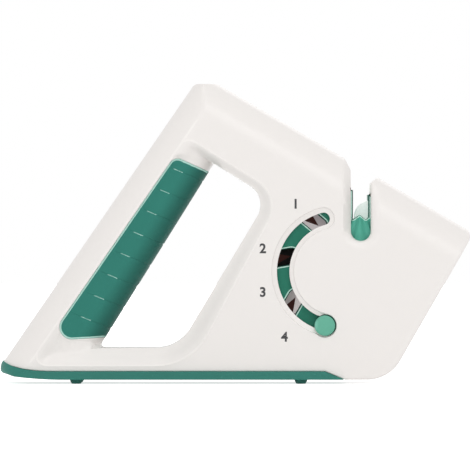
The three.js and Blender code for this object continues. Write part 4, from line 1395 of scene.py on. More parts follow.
# Painted light: the plates glow a little deep in their channels, and the far ones are painted in shade.
@finish
def grey_ceramic(c):
    return moulded("GreyCeramic", c.grey_ceramic, 0.5, (0.25, 260.0, 2600.0, 0.008), glow=0.6,
                   painted_light=far_plate_shade(c.grey_ceramic))


# Painted light: the stone glows a little, standing in for light that reaches it deep between the drum halves.
@finish
def white_ceramic(c):
    return moulded("WhiteCeramic", c.white_ceramic, 0.5, (0.04, 150.0, 2200.0, 0.01), glow=0.4)


@finish
def numeral_print(c):
    return moulded("PrintedNumerals", c.print, 0.5, (0.2, 300.0, 3000.0, 0.004))


# Geometry Nodes

class Graph:
    """A Geometry Nodes tree with named inputs."""

    def __init__(self, name, inputs):
        self.tree = bpy.data.node_groups.new(name, "GeometryNodeTree")
        face = self.tree.interface
        face.new_socket("Geometry", in_out="INPUT", socket_type="NodeSocketGeometry")
        for label, kind, default in inputs:
            socket = face.new_socket(label, in_out="INPUT", socket_type=kind)
            if default is not None:
                socket.default_value = default
        face.new_socket("Geometry", in_out="OUTPUT", socket_type="NodeSocketGeometry")
        self.enter = self.tree.nodes.new("NodeGroupInput")
        self.leave = self.tree.nodes.new("NodeGroupOutput")

    def input(self, label):
        return self.enter.outputs[label]

    def node(self, kind, settings=None, **inputs):
        node = self.tree.nodes.new(kind)
        for key, value in (settings or {}).items():
            setattr(node, key, value)
        for label, value in inputs.items():
            feed(self.tree, node.inputs[label.replace("_", " ")], value)
        return node

    def math(self, operation, *values):
        """A maths node, where a value given as a name is the input of that name."""
        given = (self.input(value) if isinstance(value, str) else value for value in values)
        return maths(self.tree, operation, *given)

    def finish(self, geometry):
        solid = self.node("GeometryNodeRealizeInstances", Geometry=geometry).outputs[0]
        painted = self.node("GeometryNodeSetMaterial", Geometry=solid, Material=self.input("Material"))
        self.tree.links.new(painted.outputs[0], self.leave.inputs["Geometry"])
        return self.tree


def bake(name, tree, values, source=None):
    """Runs a tree on a mesh and returns the plain result."""
    carrier = linked(name + "_carrier", source or bpy.data.meshes.new(name + "_seed"))
    modifier = carrier.modifiers.new("Form", "NODES")
    modifier.node_group = tree
    names = {item.name: item.identifier for item in tree.interface.items_tree if item.in_out == "INPUT"}
    for label, value in values.items():
        modifier[names[label]] = value
    result = evaluated_mesh(carrier)
    carrier.modifiers.clear()
    bpy.data.objects.remove(carrier)
    result.name = name
    return linked(name, result)


def scatter_tree():
    """Puts one turned piece on every point of the seed mesh."""
    graph = Graph("PieceOnPoints", [
        ("Piece", "NodeSocketObject", None), ("Turn", "NodeSocketRotation", None),
        ("Spin", "NodeSocketFloat", 0.0), ("Seed", "NodeSocketInt", 3),
        ("Material", "NodeSocketMaterial", None)])
    points = graph.node("GeometryNodeMeshToPoints", Mesh=graph.input("Geometry")).outputs[0]
    piece = graph.node("GeometryNodeObjectInfo", Object=graph.input("Piece")).outputs["Geometry"]
    chance = graph.node("FunctionNodeRandomValue", {"data_type": "FLOAT"}, Seed=graph.input("Seed"))
    spin = graph.math("MULTIPLY", chance.outputs["Value"], "Spin")
    about = graph.node("FunctionNodeAxisAngleToRotation", Axis=(0, 0, 1), Angle=spin).outputs[0]
    turned = graph.node(
        "FunctionNodeRotateRotation", {"rotation_space": "LOCAL"}, Rotation=graph.input("Turn"),
        Rotate_By=about).outputs[0]
    placed = graph.node(
        "GeometryNodeInstanceOnPoints", Points=points, Instance=piece, Rotation=turned)
    return graph.finish(placed.outputs[0])


def scattered(name, source, places, turn, slot, spin=0.0):
    """Copies of a mesh at places in millimetres, as one piece made by nodes."""
    part = linked(name + "_part", source)
    tree = bpy.data.node_groups.get("PieceOnPoints") or scatter_tree()
    values = {"Piece": part, "Turn": turn, "Spin": spin, "Seed": 3, "Material": material(slot)}
    made = bake(name, tree, values, plain_mesh(name + "_places", places))
    bpy.data.objects.remove(part)
    finish_mesh(made.data)
    return made


# The casing shells

# Area that the loose points cover, a little larger than the side view.
AREA_LOW = (-101, 0)
AREA_HIGH = (103, 129)


def quarter_rows(span, degrees):
    """Distances that divide a quarter round evenly, so that they are closer at its steep start."""
    return [span * (1 - math.cos(math.radians(a))) for a in degrees]


def casing_field(form):
    """Points for a shell, close together where its height changes quickly."""
    field = Field([casing_loop(), finger_loop()] + ([arc_loop(DIAL_HALF)] if form.dial else []))
    field.rows(casing_loop(), (0.08, 0.2, 0.4, 0.65, 1.0, 1.4))
    field.crease(form.ridge)
    field.rows(form.ridge, (-0.9, -0.5, -0.22, 0.12, 0.3, 0.6, 1.0, 1.5, 2.1, 2.8, 3.6, 4.6, 5.8, 7.0))
    field.crease(form.grip, step=0.6)
    field.rows(form.grip, (-0.1, -0.22, -0.38, -0.56, -0.8, 0.02, 0.6), 0.6)
    field.rows(finger_loop(), (-0.06, -0.15, -0.3, -0.5, -0.8, -1.2, -1.7, -2.4), 0.7)
    top_line = [NOSE, APEX_RIGHT + (APEX_RIGHT - NOSE) * 0.4]
    field.rows(top_line, quarter_rows(TOP_SWELL[2], range(6, 91, 6)), 0.9, closed=False)
    edge_line = [along(HEEL, LEAN, -12), along(HEEL, LEAN, 160)]
    by_ridge = [HANDLE_RIDGE + d for d in (-1.2, -0.8, -0.4, 0, 0.4, 0.9, 1.6)]
    from_edge = quarter_rows(HANDLE_SWELL[2], range(6, 66, 5)) + by_ridge
    field.rows(edge_line, [-d for d in from_edge], 0.9, closed=False)
    below_apex = [APEX_LEFT + (0, 3), APEX_LEFT + (8, -30)]
    field.rows(below_apex, (-1, -0.5, 0, 0.5, 1), 0.5, closed=False)
    bevel_line = [(BEVEL_END, KNIFE_LOW + 1), (BEVEL_END, top_z(BEVEL_END) - 4)]
    field.crease(bevel_line, closed=False)
    slot = rounded(knife_corners(), LOOP_STEP)
    field.rows(slot, (-0.1, -0.3, -0.6, -1.0, -1.5, -2.0, -2.5, -3.0, -3.4, -3.9, -4.4), 0.7)
    if form.dial:
        field.rows(arc_loop(DIAL_HALF), (-0.05, -0.12, -0.22, -0.32, -0.6), 0.6)
        for line in (arc_loop(TRACK_HALF, TRACK_R), circle(KNOB_AT, KNOB_ROOM, 60)):
            field.rows(line, (-0.2, -0.08, 0, 0.1, 0.2, 0.3, 0.42, 0.6), 0.6)
    else:
        for at in screw_places():
            ring = circle(at, RECESS_R, 40)
            field.crease(ring, step=2)
            field.rows(ring, (0.02, 0.5, 1.2, -0.08, -0.2, -0.32, -0.45, -0.8), 2)
    field.grid(2.0, AREA_LOW, AREA_HIGH)
    return field


def paint_shell(piece, form, side):
    """Paints a highlight on the ridges, shade on the inner faces of the drum's room and a glow on the knife
    slot's walls.
    """
    middles, normals = face_facts(piece)
    beside, depth = middles[:, [0, 2]], np.abs(middles[:, 1])
    outwards, upright = normals[:, 1] * side, np.abs(normals[:, 1]) < 0.1

    # Painted highlight lines along the pocket's ridge and the handle's ridge: their half widths, and the
    # heights between which the handle's line runs.
    pocket_line, handle_line, handle_low, handle_high = 0.4, 0.5, 9, 112
    along_handle = (beside[:, 1] > handle_low) & (beside[:, 1] < handle_high)
    on_handle = np.abs(line_distance(beside, HEEL, LEAN) - HANDLE_RIDGE) < handle_line
    ridge_highlight = (distance_to(beside, form.ridge) < pocket_line) | (on_handle & along_handle)
    paint_faces(piece, "casing_ridge_highlight", ridge_highlight & (outwards > 0.5))

    # The ceiling and the wall of the drum's room get the painted shade.
    reach = np.hypot(*(beside - DRUM_AT).T)
    ceiling = (depth > ROOM_HALF - 0.01) & (outwards < -0.9)
    wall = upright & (reach > ROOM_R - 0.3) & (depth < ROOM_HALF / 2 + 0.1) & (depth > 1)
    in_room = (reach < ROOM_R + 0.1) & (depth < ROOM_HALF + 0.01)
    paint_faces(piece, "casing_inside_shade", in_room & (ceiling | wall))

    # The knife slot's walls above the drum's room get the painted glow.
    in_slot = np.abs(middles[:, 0] - KNIFE_X) < KNIFE_HALF + 0.1
    above_room = (middles[:, 2] > KNIFE_LOW) & (reach > ROOM_R + 0.2)
    paint_faces(piece, "slot_wall_glow", in_slot & upright & above_room)


class SHARPENER_OT_casing(bpy.types.Operator):
    """Make the two white shells with their ridge, pocket, slots and screw recesses"""

    bl_idname = "sharpener.casing"
    bl_label = "Casing shells"

    def execute(self, context):
        for name, node, side in (("casing_near", "near_casing", -1), ("casing_far", "far_casing", 1)):
            form = CasingForm(context.scene.sharpener_sizes, dial=side < 0)
            field = casing_field(form)
            room = circle(DRUM_AT, ROOM_R, 180)
            field.crease(room)
            levels = [(None, SEAM_CLOSED), (room, ROOM_HALF)]
            piece = FieldSolid(field, form.half, levels, side, SEAM_EDGE).piece(name)
            dress(piece, CASING_BODY, "casing_plastic", node)
            paint_shell(piece, form, side)
        return {"FINISHED"}


# The grip

# The uppermost groove, as a pixel of the photograph and as a place, and the slant of all of them.
FIRST_GROOVE_PIXEL = (177.8, 170.5)
FIRST_GROOVE = np.array((
    (FIRST_GROOVE_PIXEL[0] - MIDDLE_COLUMN) * PIXEL, (FLOOR_ROW - FIRST_GROOVE_PIXEL[1]) * PIXEL))
GROOVE_TURN = math.radians(-22.5)
GROOVES = 8

# How far the grip stands out from the bar, the round of its edge, and its sharpest smooth edge.
GRIP_PROUD = 0.12
GRIP_ROUND = 0.3
GRIP_SHARP = math.radians(40)

# Width of the painted highlight line round the grip, half width of the painted highlight strokes on the lower
# lips of its grooves, their least distance from the line, and where they start and stop from the palm side.
HIGHLIGHT_LINE = 0.7
GROOVE_HIGHLIGHT_HALF = 0.13
GROOVE_HIGHLIGHT_ROOM = 2.0
GROOVE_HIGHLIGHT_REACH = (9.0, 13.2)


class GripForm:
    """The grip over the side view, with its grooves."""

    # A groove's sharp upper wall and its long lower one, and how the grooves fade near the edge.
    UPPER_WALL = 0.14
    LOWER_WALL = 0.55
    FADE_FROM = 1.2
    FADE_SPAN = 1.5

    def __init__(self, sizes):
        self.sizes = sizes
        self.outline = rounded(grip_corners(), 0.4)

    def field(self):
        low, _, _, high = grip_corners()
        foot = meet(low[0], GRIP_FOOT, PALM, PALM_LEAN)
        top = meet(high[0], GRIP_TOP, PALM, PALM_LEAN)
        field = Field([rounded([low, (foot, 0), (top, 0), high], 0.4)], step=0.35)
        palm_line = [along(PALM, PALM_LEAN, -80), along(PALM, PALM_LEAN, 80)]
        field.rows(palm_line, quarter_rows(BAR_ROUND, range(5, 91, 5)) + [11, 12.2], 0.5, closed=False)
        field.rows(self.outline, (0.06, 0.15, 0.28, 0.45, 0.7, 1.0, 1.4), 0.5)
        for k in range(GROOVES):
            at = along(FIRST_GROOVE, GROOVE_TURN - math.pi / 2, k * self.sizes.groove_pitch)
            line = [along(at, GROOVE_TURN, -30), along(at, GROOVE_TURN, 40)]
            field.rows(line, (0, 0.12, -0.12, 0.25, -0.25, 0.4, -0.4, 0.6, -0.6), 0.6, closed=False)
        field.grid(1.2, AREA_LOW, (20, AREA_HIGH[1]))
        return field

    def across_groove(self, points):
        """Distance from the middle of the nearest groove, positive above it."""
        pitch = self.sizes.groove_pitch
        rise = (points - FIRST_GROOVE) @ heading(GROOVE_TURN + math.pi / 2)
        return rise + np.clip(np.round(-rise / pitch), 0, GROOVES - 1) * pitch

    def groove_depth(self, points):
        off = self.across_groove(points)
        wall = np.where(off > 0, off / self.UPPER_WALL, off / self.LOWER_WALL)
        body = np.clip((distance_to(points, self.outline) - self.FADE_FROM) / self.FADE_SPAN, 0, 1)
        return self.sizes.groove_depth * np.exp(-wall ** 2) * smooth(body)

    def surface(self, points, deep):
        """Places and half thickness of the outer face; grooves go in square to the round face."""
        into_bar = heading(PALM_LEAN + math.pi / 2)
        half = handle_half(points + into_bar * 1e-3) + GRIP_PROUD
        half = half - quarter(distance_to(points, self.outline), GRIP_ROUND, GRIP_ROUND)
        depth = self.groove_depth(points)
        flat = np.clip(1 - deep / BAR_ROUND, 0, 1)
        return points + np.outer(depth * flat, into_bar), half - depth * np.sqrt(1 - flat ** 2)

    def mesh(self):
        """Points and faces of both sides and the rim between them."""
        verts, faces = self.field().triangulate()
        deep = -line_distance(verts, PALM, PALM_LEAN)
        outer, height = self.surface(verts, deep)
        inner = np.where(deep < GRIP_THICK + 0.1, 0.0, np.maximum(handle_half(verts, GRIP_THICK), 0.0))
        edges = {(f[i], f[(i + 1) % 3]): True for f in faces for i in range(3)}
        border = [(a, b) for a, b in edges if (b, a) not in edges]
        count = len(verts)
        points, polys = [], []
        for side in (-1, 1):
            start = len(points)
            points += [(x, side * h, z) for (x, z), h in zip(outer, height)]
            points += [(x, side * h, z) for (x, z), h in zip(verts, inner)]
            made = []
            for f in faces:
                made.append(tuple(start + i for i in f))
                if max(inner[list(f)]) > 0:
                    made.append(tuple(start + count + i for i in f[::-1]))
            for a, b in border:
                under = (start + count + a, start + count + b)
                if max(deep[a], deep[b]) < 2 * ON_LINE:
                    under = (len(points), len(points) + 1)
                    points += [(outer[i][0], 0.0, outer[i][1]) for i in (a, b)]
                made.append((start + b, start + a, *under))
            polys += [p[::-1] for p in made] if side > 0 else made
        return points, polys


class SHARPENER_OT_grip(bpy.types.Operator):
    """Make the green rubber grip that wraps round the palm side of the handle"""

    bl_idname = "sharpener.grip"
    bl_label = "Handle grip"

    def execute(self, context):
        form = GripForm(context.scene.sharpener_sizes)
        piece = mesh_object("grip_sleeve", *form.mesh(), GRIP_SHARP)
        mend(piece.data, weld=True)
        finish_mesh(piece.data, GRIP_SHARP)
        dress(piece, CASING_BODY, "grip_rubber", "handle_grip")
        middles, normals = face_facts(piece)
        centres = middles[:, [0, 2]]
        to_edge = distance_to(centres, form.outline)
        deep = -line_distance(centres, PALM, PALM_LEAN)
        # Painted highlights on the grooves' lower lips and along the grip's edge.
        groove_highlight = (np.abs(form.across_groove(centres)) < GROOVE_HIGHLIGHT_HALF) & (to_edge > GROOVE_HIGHLIGHT_ROOM)
        groove_highlight &= (deep > GROOVE_HIGHLIGHT_REACH[0]) & (deep < GROOVE_HIGHLIGHT_REACH[1])
        outer = (np.abs(normals[:, 1]) > 0.1) & (np.abs(middles[:, 1]) > 9)
        paint_faces(piece, "grip_highlight", outer & (groove_highlight | (to_edge < HIGHLIGHT_LINE)))
        return {"FINISHED"}


# The base plate and its feet

def base_form():
    """The named inputs of the base plate's tree, in metres except for powers and shares."""
    lengths = {
        "Tip": TIP_X, "Run": RAMP_X + RAMP - 0.7 - TIP_X, "Curl Length": CURL,
        "Top Level": FLOOR - 0.04, "Top Rise": CURL_RISE, "Low Level": FOOT, "Low Rise": 2.1,
        "Ramp Start": RAMP_X - 0.3, "Half Width": HALF + OVERHANG,
        "Tip Half Width": HANDLE_SWELL[0] + OVERHANG, "Plan Round": HANDLE_SWELL[2] / math.sin(LEAN),
        "Plan Swell": 25.4, "Tip Round": 1.1, "Tip Reach": 6,
    }
    shares = {
        "Curl Power": float(CURL_POWER), "Low Power": 1.7, "Tip Level": 0.4, "Spacing": 1.35,
        "End Share": 0.93,
    }
    return {**{label: value * MM for label, value in lengths.items()}, **shares}


def base_tree(form):
    """The base plate by rule: a curled tip, a straight run and a ramp, to the casing's plan."""
    inputs = [(label, "NodeSocketFloat", value) for label, value in form.items()]
    g = Graph("CurledPlate", inputs + [("Material", "NodeSocketMaterial", None)])
    add, sub, mul, div, power, root, larger, smaller = (
        partial(g.math, operation) for operation in (
            "ADD", "SUBTRACT", "MULTIPLY", "DIVIDE", "POWER", "SQRT", "MAXIMUM", "MINIMUM"))
    box = g.node("GeometryNodeMeshCube", Size=(1, 1, 1), Vertices_X=170, Vertices_Y=25, Vertices_Z=9)
    place = g.node("ShaderNodeSeparateXYZ", Vector=g.node("GeometryNodeInputPosition").outputs[0]).outputs
    x = add("Tip", mul(power(add(place[0], 0.5), "Spacing"), "Run"))
    from_tip = sub(x, "Tip")

    # Both faces rise to the tip, and the ramp brings them together at the other end
    share = larger(sub(1.0, div(from_tip, "Curl Length")), 0.0)
    low = add("Low Level", mul(power(share, "Low Power"), "Low Rise"))
    top = add("Top Level", mul(power(share, "Curl Power"), "Top Rise"))
    ramp = sub(add("Tip", "Run"), "Ramp Start")
    fall = div(larger(sub(x, "Ramp Start"), 0.0), ramp)
    top = sub(top, mul(fall, mul(sub(top, low), "End Share")))
    up = add(place[2], 0.5)
    z = add(low, mul(up, sub(top, low)))

    # The tip is round between the faces, three times as much below as above
    near_tip = larger(sub(1.0, div(from_tip, "Tip Reach")), 0.0)
    over = sub(up, "Tip Level")
    off = larger(div(over, sub(1.0, "Tip Level")), mul(div(over, "Tip Level"), -1.0))
    bow = root(larger(sub(1.0, mul(off, off)), 0.0))
    tip_round = mul("Tip Round", sub(3.0, mul(up, 2.0)))
    x = add(x, mul(mul(sub(1.0, bow), tip_round), near_tip))

    # The plan swells from the tip's width as a quarter round, up to the full width
    plan = sub(1.0, smaller(div(from_tip, "Plan Round"), 1.0))
    swell = root(sub(1.0, mul(plan, plan)))
    grown = mul(sub("Plan Swell", "Tip Half Width"), swell)
    half = smaller(add("Tip Half Width", grown), "Half Width")
    y = mul(mul(place[1], 2.0), half)
    point = g.node("ShaderNodeCombineXYZ", X=x, Y=y, Z=z).outputs[0]
    moved = g.node("GeometryNodeSetPosition", Geometry=box.outputs["Mesh"], Position=point)
    return g.finish(moved.outputs[0])


def foot_mesh():
    """A rubber foot with a flange under the plate and a stem in it."""
    sole, flange, stem = 1.75, 2.75, 1.7
    level, stem_top = FOOT - 0.15, 4.0
    profile = [
        (0, 0), (sole, 0), (1.9, 0.05), (2.0, 0.18), (2.45, level / 2), (2.68, level - 0.25),
        (flange, level - 0.05), (2.72, level), (stem, level), (stem, stem_top - 0.1),
        (stem - 0.1, stem_top), (0, stem_top)]
    return turned_mesh("foot_form", profile, 40)


def base_recess():
    """Cutter for a screw's recess in the underside, up to the middle of the plate."""
    mouth, bore = 2.8, 2.6
    seat = FOOT + PLATE / 2
    profile = [(0, -1), (mouth, -1), (mouth, FOOT + 0.15), (bore, FOOT + 0.35), (bore, seat), (0, seat)]
    return turned_mesh("recess", profile, 40)


class SHARPENER_OT_base(bpy.types.Operator):
    """Make the green base plate and its feet"""

    bl_idname = "sharpener.base"
    bl_label = "Base plate and feet"

    def execute(self, context):
        form = base_form()
        piece = bake("base_tray", base_tree(form), {**form, "Material": material("base_plastic")})
        mend(piece.data, weld=True, outwards=True)
        bevelled(piece, 0.7, 50)
        for i in range(1, 5):
            x, y, _ = node_middle(f"base_screw_{i}")
            cut(piece, moved_mesh(base_recess(), (x, y, 0)))
        dress(piece, CASING_BODY, "base_plastic", "base_plate")
        feet = [f"foot_{i}" for i in range(1, 5)]
        places = [(*node_middle(name)[:2], 0.0) for name in feet]
        piece = scattered("feet", foot_mesh(), places, (0, 0, 0), "foot_rubber")
        dress(piece, CASING_BODY, "foot_rubber", *feet)
        return {"FINISHED"}


# The drum

DRUM_HALF = 18.0
BORE_R = 2.65

# The round well about the bore, in each half's outer face.
WELL_R = 5.6
WELL_HALF = 14.6

# Centre of the round bottom of a plate channel, above the axle when its station is upright.
CHANNEL_LOW = 18.3

# The scissor guide's edge in the first channel: its level, the height of its peak, and the corners
# of each half as shares of half the channel's width and of that height, with their rounds.
GUIDE_LOW = 22
GUIDE_HIGH = 2.2
GUIDE_NEAR = ((1, 0.5), (0.66, 0.0), (-0.1, 1.0), (-1, 0.05))
GUIDE_FAR = ((1, 0.55), (0.82, 0.12), (0.2, 1.12), (-1, 0.05))
GUIDE_ROUNDS = (0.1, 0.5, 0.7, 0.1)

# Flutes that spread like a fan under the guide: the fan's centre, its turn and reach, and how many
# stand in how many degrees from where.
FAN_AT = DRUM_AT + (9.5, 29)
FAN_TURN = (234, 304)
FAN_REACH = (5.2, 17)
FLUTES = 5
FLUTE_SPAN = 72
FLUTE_FROM = 262


def spun(a, b, station):
    """A place of the drum, a across and b up from the axle while its station is upright."""
    turn = math.radians(STATION_TURN * station)
    c, s = math.cos(turn), math.sin(turn)
    return DRUM_AT + (a * c - b * s, a * s + b * c)


def guide_edge(guide):
    """The scissor guide's edge, from right to left across the first channel."""
    corners = [
        (spun(STATION_OFF + x * CHANNEL_HALF, GUIDE_LOW + z * GUIDE_HIGH, 0), radius)
        for (x, z), radius in zip(guide, GUIDE_ROUNDS)]
    beyond = 40
    right, left = (spun(STATION_OFF + d, beyond, 0) for d in (CHANNEL_HALF, -CHANNEL_HALF))
    outline = rounded([(right, 0), *corners, (left, 0)], 0.25)
    return [p for p in outline if p[1] < DRUM_AT[1] + 30]


def channel_bottom(station):
    turns = [-math.pi * k / 16 for k in range(17)]
    return [spun(STATION_OFF + CHANNEL_HALF * math.cos(t), CHANNEL_LOW + CHANNEL_HALF * math.sin(t), station)
            for t in turns]


def drum_loop(guide):
    """The drum's outline with its four channels, the first with the guide's edge."""
    notches = []
    for station in range(4):
        bottom = channel_bottom(station) if station else guide_edge(guide)
        right, left = (
            spun(a, math.sqrt(DRUM_R ** 2 - a ** 2), station)
            for a in (STATION_OFF + CHANNEL_HALF, STATION_OFF - CHANNEL_HALF))
        notches.append([right, *bottom, left])
    points = []
    for i, notch in enumerate(notches):
        points += notch
        start, end = (math.atan2(*(p - DRUM_AT)[::-1]) for p in (notch[-1], notches[(i + 1) % 4][0]))
        end = start + (end - start) % (2 * math.pi)
        parts = math.ceil((end - start) * DRUM_R / 0.8)
        points += [along(DRUM_AT, start + (end - start) * k / parts, DRUM_R) for k in range(1, parts)]
    return tidy_loop(points)


def by_guide(points, middle):
    return (np.abs(points[:, 0] - middle) < 3.5) & (points[:, 1] > DRUM_AT[1] + 20)


class DrumForm:
    """Half thickness of a drum half over the side view."""

    # Widths and depths of the rounded edges, at the guide and elsewhere.
    GUIDE_ROUND = (0.7, 0.9)
    EDGE_ROUND = (0.35, 0.35)

    def __init__(self, sizes, guide):
        self.sizes = sizes
        self.loop = drum_loop(guide)
        self.well = circle(DRUM_AT, WELL_R, 60)

    def field(self):
        field = Field([self.loop, circle(DRUM_AT, BORE_R, 32)])
        field.rows(self.loop, (0.06, 0.14, 0.24, 0.36, 0.5, 0.7, 0.9), 0.5)
        field.crease(self.well, step=2)
        field.rows(self.well, (0.02,), 2)
        turns = np.radians(np.arange(FAN_TURN[0] - 1, FAN_TURN[1] + 1.1, 1.8))
        for radius in np.arange(FAN_REACH[0], FAN_REACH[1] + 0.5, 0.5):
            ring = np.array([along(FAN_AT, turn, radius) for turn in turns])
            field.free.append((ring, 0.12))
        field.grid(2.0, DRUM_AT - 36, DRUM_AT + 36)
        return field

    def half(self, points):
        away = distance_to(points, self.loop)
        edge = np.where(
            by_guide(points, FAN_AT[0]), quarter(away, *self.GUIDE_ROUND), quarter(away, *self.EDGE_ROUND))
        made = DRUM_HALF - edge - self.sizes.flute_depth * self.flute(points)
        in_well = np.hypot(*(points - DRUM_AT).T) < WELL_R - ON_LINE
        return np.where(in_well, WELL_HALF, made)

    def flute(self, points):
        """Depth of the flutes from 0 to 1, fading out round the fan."""
        rel = points - FAN_AT
        turn = np.degrees(np.arctan2(rel[:, 1], rel[:, 0])) % 360
        reach = np.hypot(*rel.T)
        flute = np.abs(np.sin((turn - FLUTE_FROM) / FLUTE_SPAN * math.pi * FLUTES)) ** 0.8
        fade = smooth((reach - FAN_REACH[0]) / 2) * smooth((FAN_REACH[1] - reach) / 2)
        fade *= smooth((turn - FAN_TURN[0]) / 6) * smooth((FAN_TURN[1] - turn) / 6)
        return flute * fade


def paint_drum(piece, form):
    """A painted shade line right at the drum's edges and a painted highlight line inside it."""
    middles, _ = face_facts(piece)
    beside = middles[:, [0, 2]]
    away = distance_to(beside, form.loop)
    guide = by_guide(beside, KNIFE_X)
    # Painted shade right at the edges, narrower at the guide, and a painted highlight inside it.
    dark = np.where(guide, 0.2, 0.45)
    shoulder = (np.abs(middles[:, 1]) > 15.4) & (away < np.where(guide, 0.65, 0.85))
    paint_faces(piece, "drum_edge_highlight", shoulder & (away > dark))
    paint_faces(piece, "drum_rim_shade", shoulder & (away <= dark))


class SHARPENER_OT_drum(bpy.types.Operator):
    """Make the two halves of the green drum with their channels and the fluted scissor guide"""

    bl_idname = "sharpener.drum"
    bl_label = "Drum halves"

    def execute(self, context):
        for name, node, side, guide in (
                ("drum_near", "drum_near_half", -1, GUIDE_NEAR), ("drum_far", "drum_far_half", 1, GUIDE_FAR)):
            form = DrumForm(context.scene.sharpener_sizes, guide)
            piece = FieldSolid(form.field(), form.half, [(None, SEAM)], side).piece(name)
            dress(piece, DRUM_BODY, "drum_plastic", node)
            paint_drum(piece, form)
        return {"FINISHED"}


# The knob and the numerals

# From distances along z to distances towards the viewer.
TO_VIEWER = Matrix.Rotation(math.pi / 2, 4, "X")

KNOB_R = 4.35
KNOB_FACE = 24.2
KNOB_ROUND = 0.9
KNOB_CROWN = 0.12


def knob_profile():
    """The knob from its stem in the drum to its slightly domed face."""
    quarter_turn = np.linspace(0, math.pi / 2, 9)
    edge = [(KNOB_R - KNOB_ROUND * (1 - math.cos(t)), KNOB_FACE - KNOB_CROWN - KNOB_ROUND * (1 - math.sin(t)))
            for t in quarter_turn]
    crown = [(r, KNOB_FACE - KNOB_CROWN * (r / (KNOB_R - KNOB_ROUND)) ** 2) for r in (2.6, 1.6, 0.8)]
    stem = [(0, 16), (1.4, 16), (1.5, 16.1), (1.5, 18.3), (2.35, 18.3), (2.35, 22.3), (4.2, 22.3)]
    return [*stem, (KNOB_R, 22.42), *edge, *crown, (0, KNOB_FACE)]


# A dark ring under the knob, set off towards the lower right, stands in for the shadow in the gap round the
# knob.
SHADOW_RING = ((0, 21.6), (4.5, 21.6), (4.6, 21.7), (4.6, 22.15), (4.5, 22.25), (0, 22.25))
SHADOW_RING_SHIFT = (0.26, 0, 0.18)


class SHARPENER_OT_knob(bpy.types.Operator):
    """Make the mint knob that turns the drum, and the dark ring under it that stands in for the shadow in the
    gap round the knob
    """

    bl_idname = "sharpener.knob"
    bl_label = "Selector knob"

    def execute(self, context):
        for name, profile, shift, finish, nodes in (
                ("selector", knob_profile(), (0, 0, 0), "knob_plastic", ["selector_knob"]),
                ("selector_collar", SHADOW_RING, SHADOW_RING_SHIFT, "knob_shadow_ring", [])):
            at = KNOB + shift
            mesh = moved_mesh(turned_mesh(name, profile, 72), (at[0], 0, at[2]), TO_VIEWER)
            dress(linked(name, mesh), DRUM_BODY, "knob_plastic", *nodes, finish=finish)
        return {"FINISHED"}


# Places of the numerals beside the curved slot, and their thickness and added weight.
NUMERALS = {"1": (25.6, 76.2), "2": (11.7, 57.3), "3": (11.7, 38.8), "4": (20.9, 19.8)}
NUMERAL_THICK = 0.02
NUMERAL_WEIGHT = 0.17
NUMERAL_GAP = 0.01

# Size of the font against the height of its numerals.
FONT_SIZE = 1.4


class SHARPENER_OT_numerals(bpy.types.Operator):
    """Print plain numerals beside the four stops of the curved slot"""

    bl_idname = "sharpener.numerals"
    bl_label = "Numerals"

    def execute(self, context):
        size = context.scene.sharpener_sizes.numeral_height
        for text, (x, z) in NUMERALS.items():
            curve = bpy.data.curves.new("numeral_" + text, "FONT")
            curve.body = text
            curve.align_x, curve.align_y = "CENTER", "CENTER"
            curve.size = size * FONT_SIZE * MM
            curve.extrude = NUMERAL_THICK * MM
            curve.offset = NUMERAL_WEIGHT * MM
            carrier = linked("text", curve)
            mesh = evaluated_mesh(carrier)
            bpy.data.objects.remove(carrier)
            piece = linked("numeral_" + text, moved_mesh(mesh, (x, -(HALF + NUMERAL_GAP), z), TO_VIEWER))
            dress(piece, CASING_BODY, "casing_plastic", finish="numeral_print")
        return {"FINISHED"}


# The screws

def cross_cutter(top, reach, deep):
    """A tapered cross, as the cutter of a screw's drive."""
    points = []
    for z, a, w in ((top + 0.3, reach, 0.3 * reach), (top - deep, reach * 0.5, 0.2 * reach)):
        arm = [(a, -w), (a, w), (w, w)]
        for _ in range(4):
            points += [(x, y, z) for x, y in arm]
            arm = [(-y, x) for x, y in arm]
    polys = [tuple(range(12)), tuple(range(23, 11, -1))]
    polys += [(k, 12 + k, 12 + (k + 1) % 12, (k + 1) % 12) for k in range(12)]
    return plain_mesh("cross", points, polys)


def screw_mesh(name, shank, length, head, height):
    """A pan-headed screw with a ridged shank and a cross drive, its seat at zero."""
    pitch, root = 0.9, 0.78 * shank
    profile = [(0, -length), (shank * 0.35, -length + 0.05), (shank * 0.75, -length + 0.9)]
    for k in range(int((length - 2.2) / pitch)):
        z = -length + 1.1 + k * pitch
        profile += [(shank, z + 0.1), (shank, z + 0.2), (root, z + 0.45), (root, z + 0.8)]
    profile += [(shank * 0.9, -0.6), (shank * 0.9, 0), (head - 0.08, 0), (head, 0.08), (head, height * 0.4)]
    profile += [(head * math.cos(t), height * (0.4 + 0.6 * math.sin(t)))
                for t in np.linspace(0.25, math.pi / 2 - 0.12, 7)]
    profile += [(0, height)]
    piece = linked(name, turned_mesh(name, profile, 40))
    cut(piece, cross_cutter(height, head * 0.56, height * 0.6))
    mesh = piece.data
    bpy.data.objects.remove(piece)
    return mesh


# Piece, node, count, body, shank, length, head, and the turn that lays the head outwards.
SCREW_SETS = (
    ("casing_screws", "casing_screw", 5, CASING_BODY, 1.3, 14.0, 2.75, (-math.pi / 2, 0, 0)),
    ("base_screws", "base_screw", 4, CASING_BODY, 1.1, 8.0, 2.45, (math.pi, 0, 0)),
    ("drum_screws", "drum_screw", 3, DRUM_BODY, 1.3, 10.0, 2.35, (-math.pi / 2, 0, 0)),
)


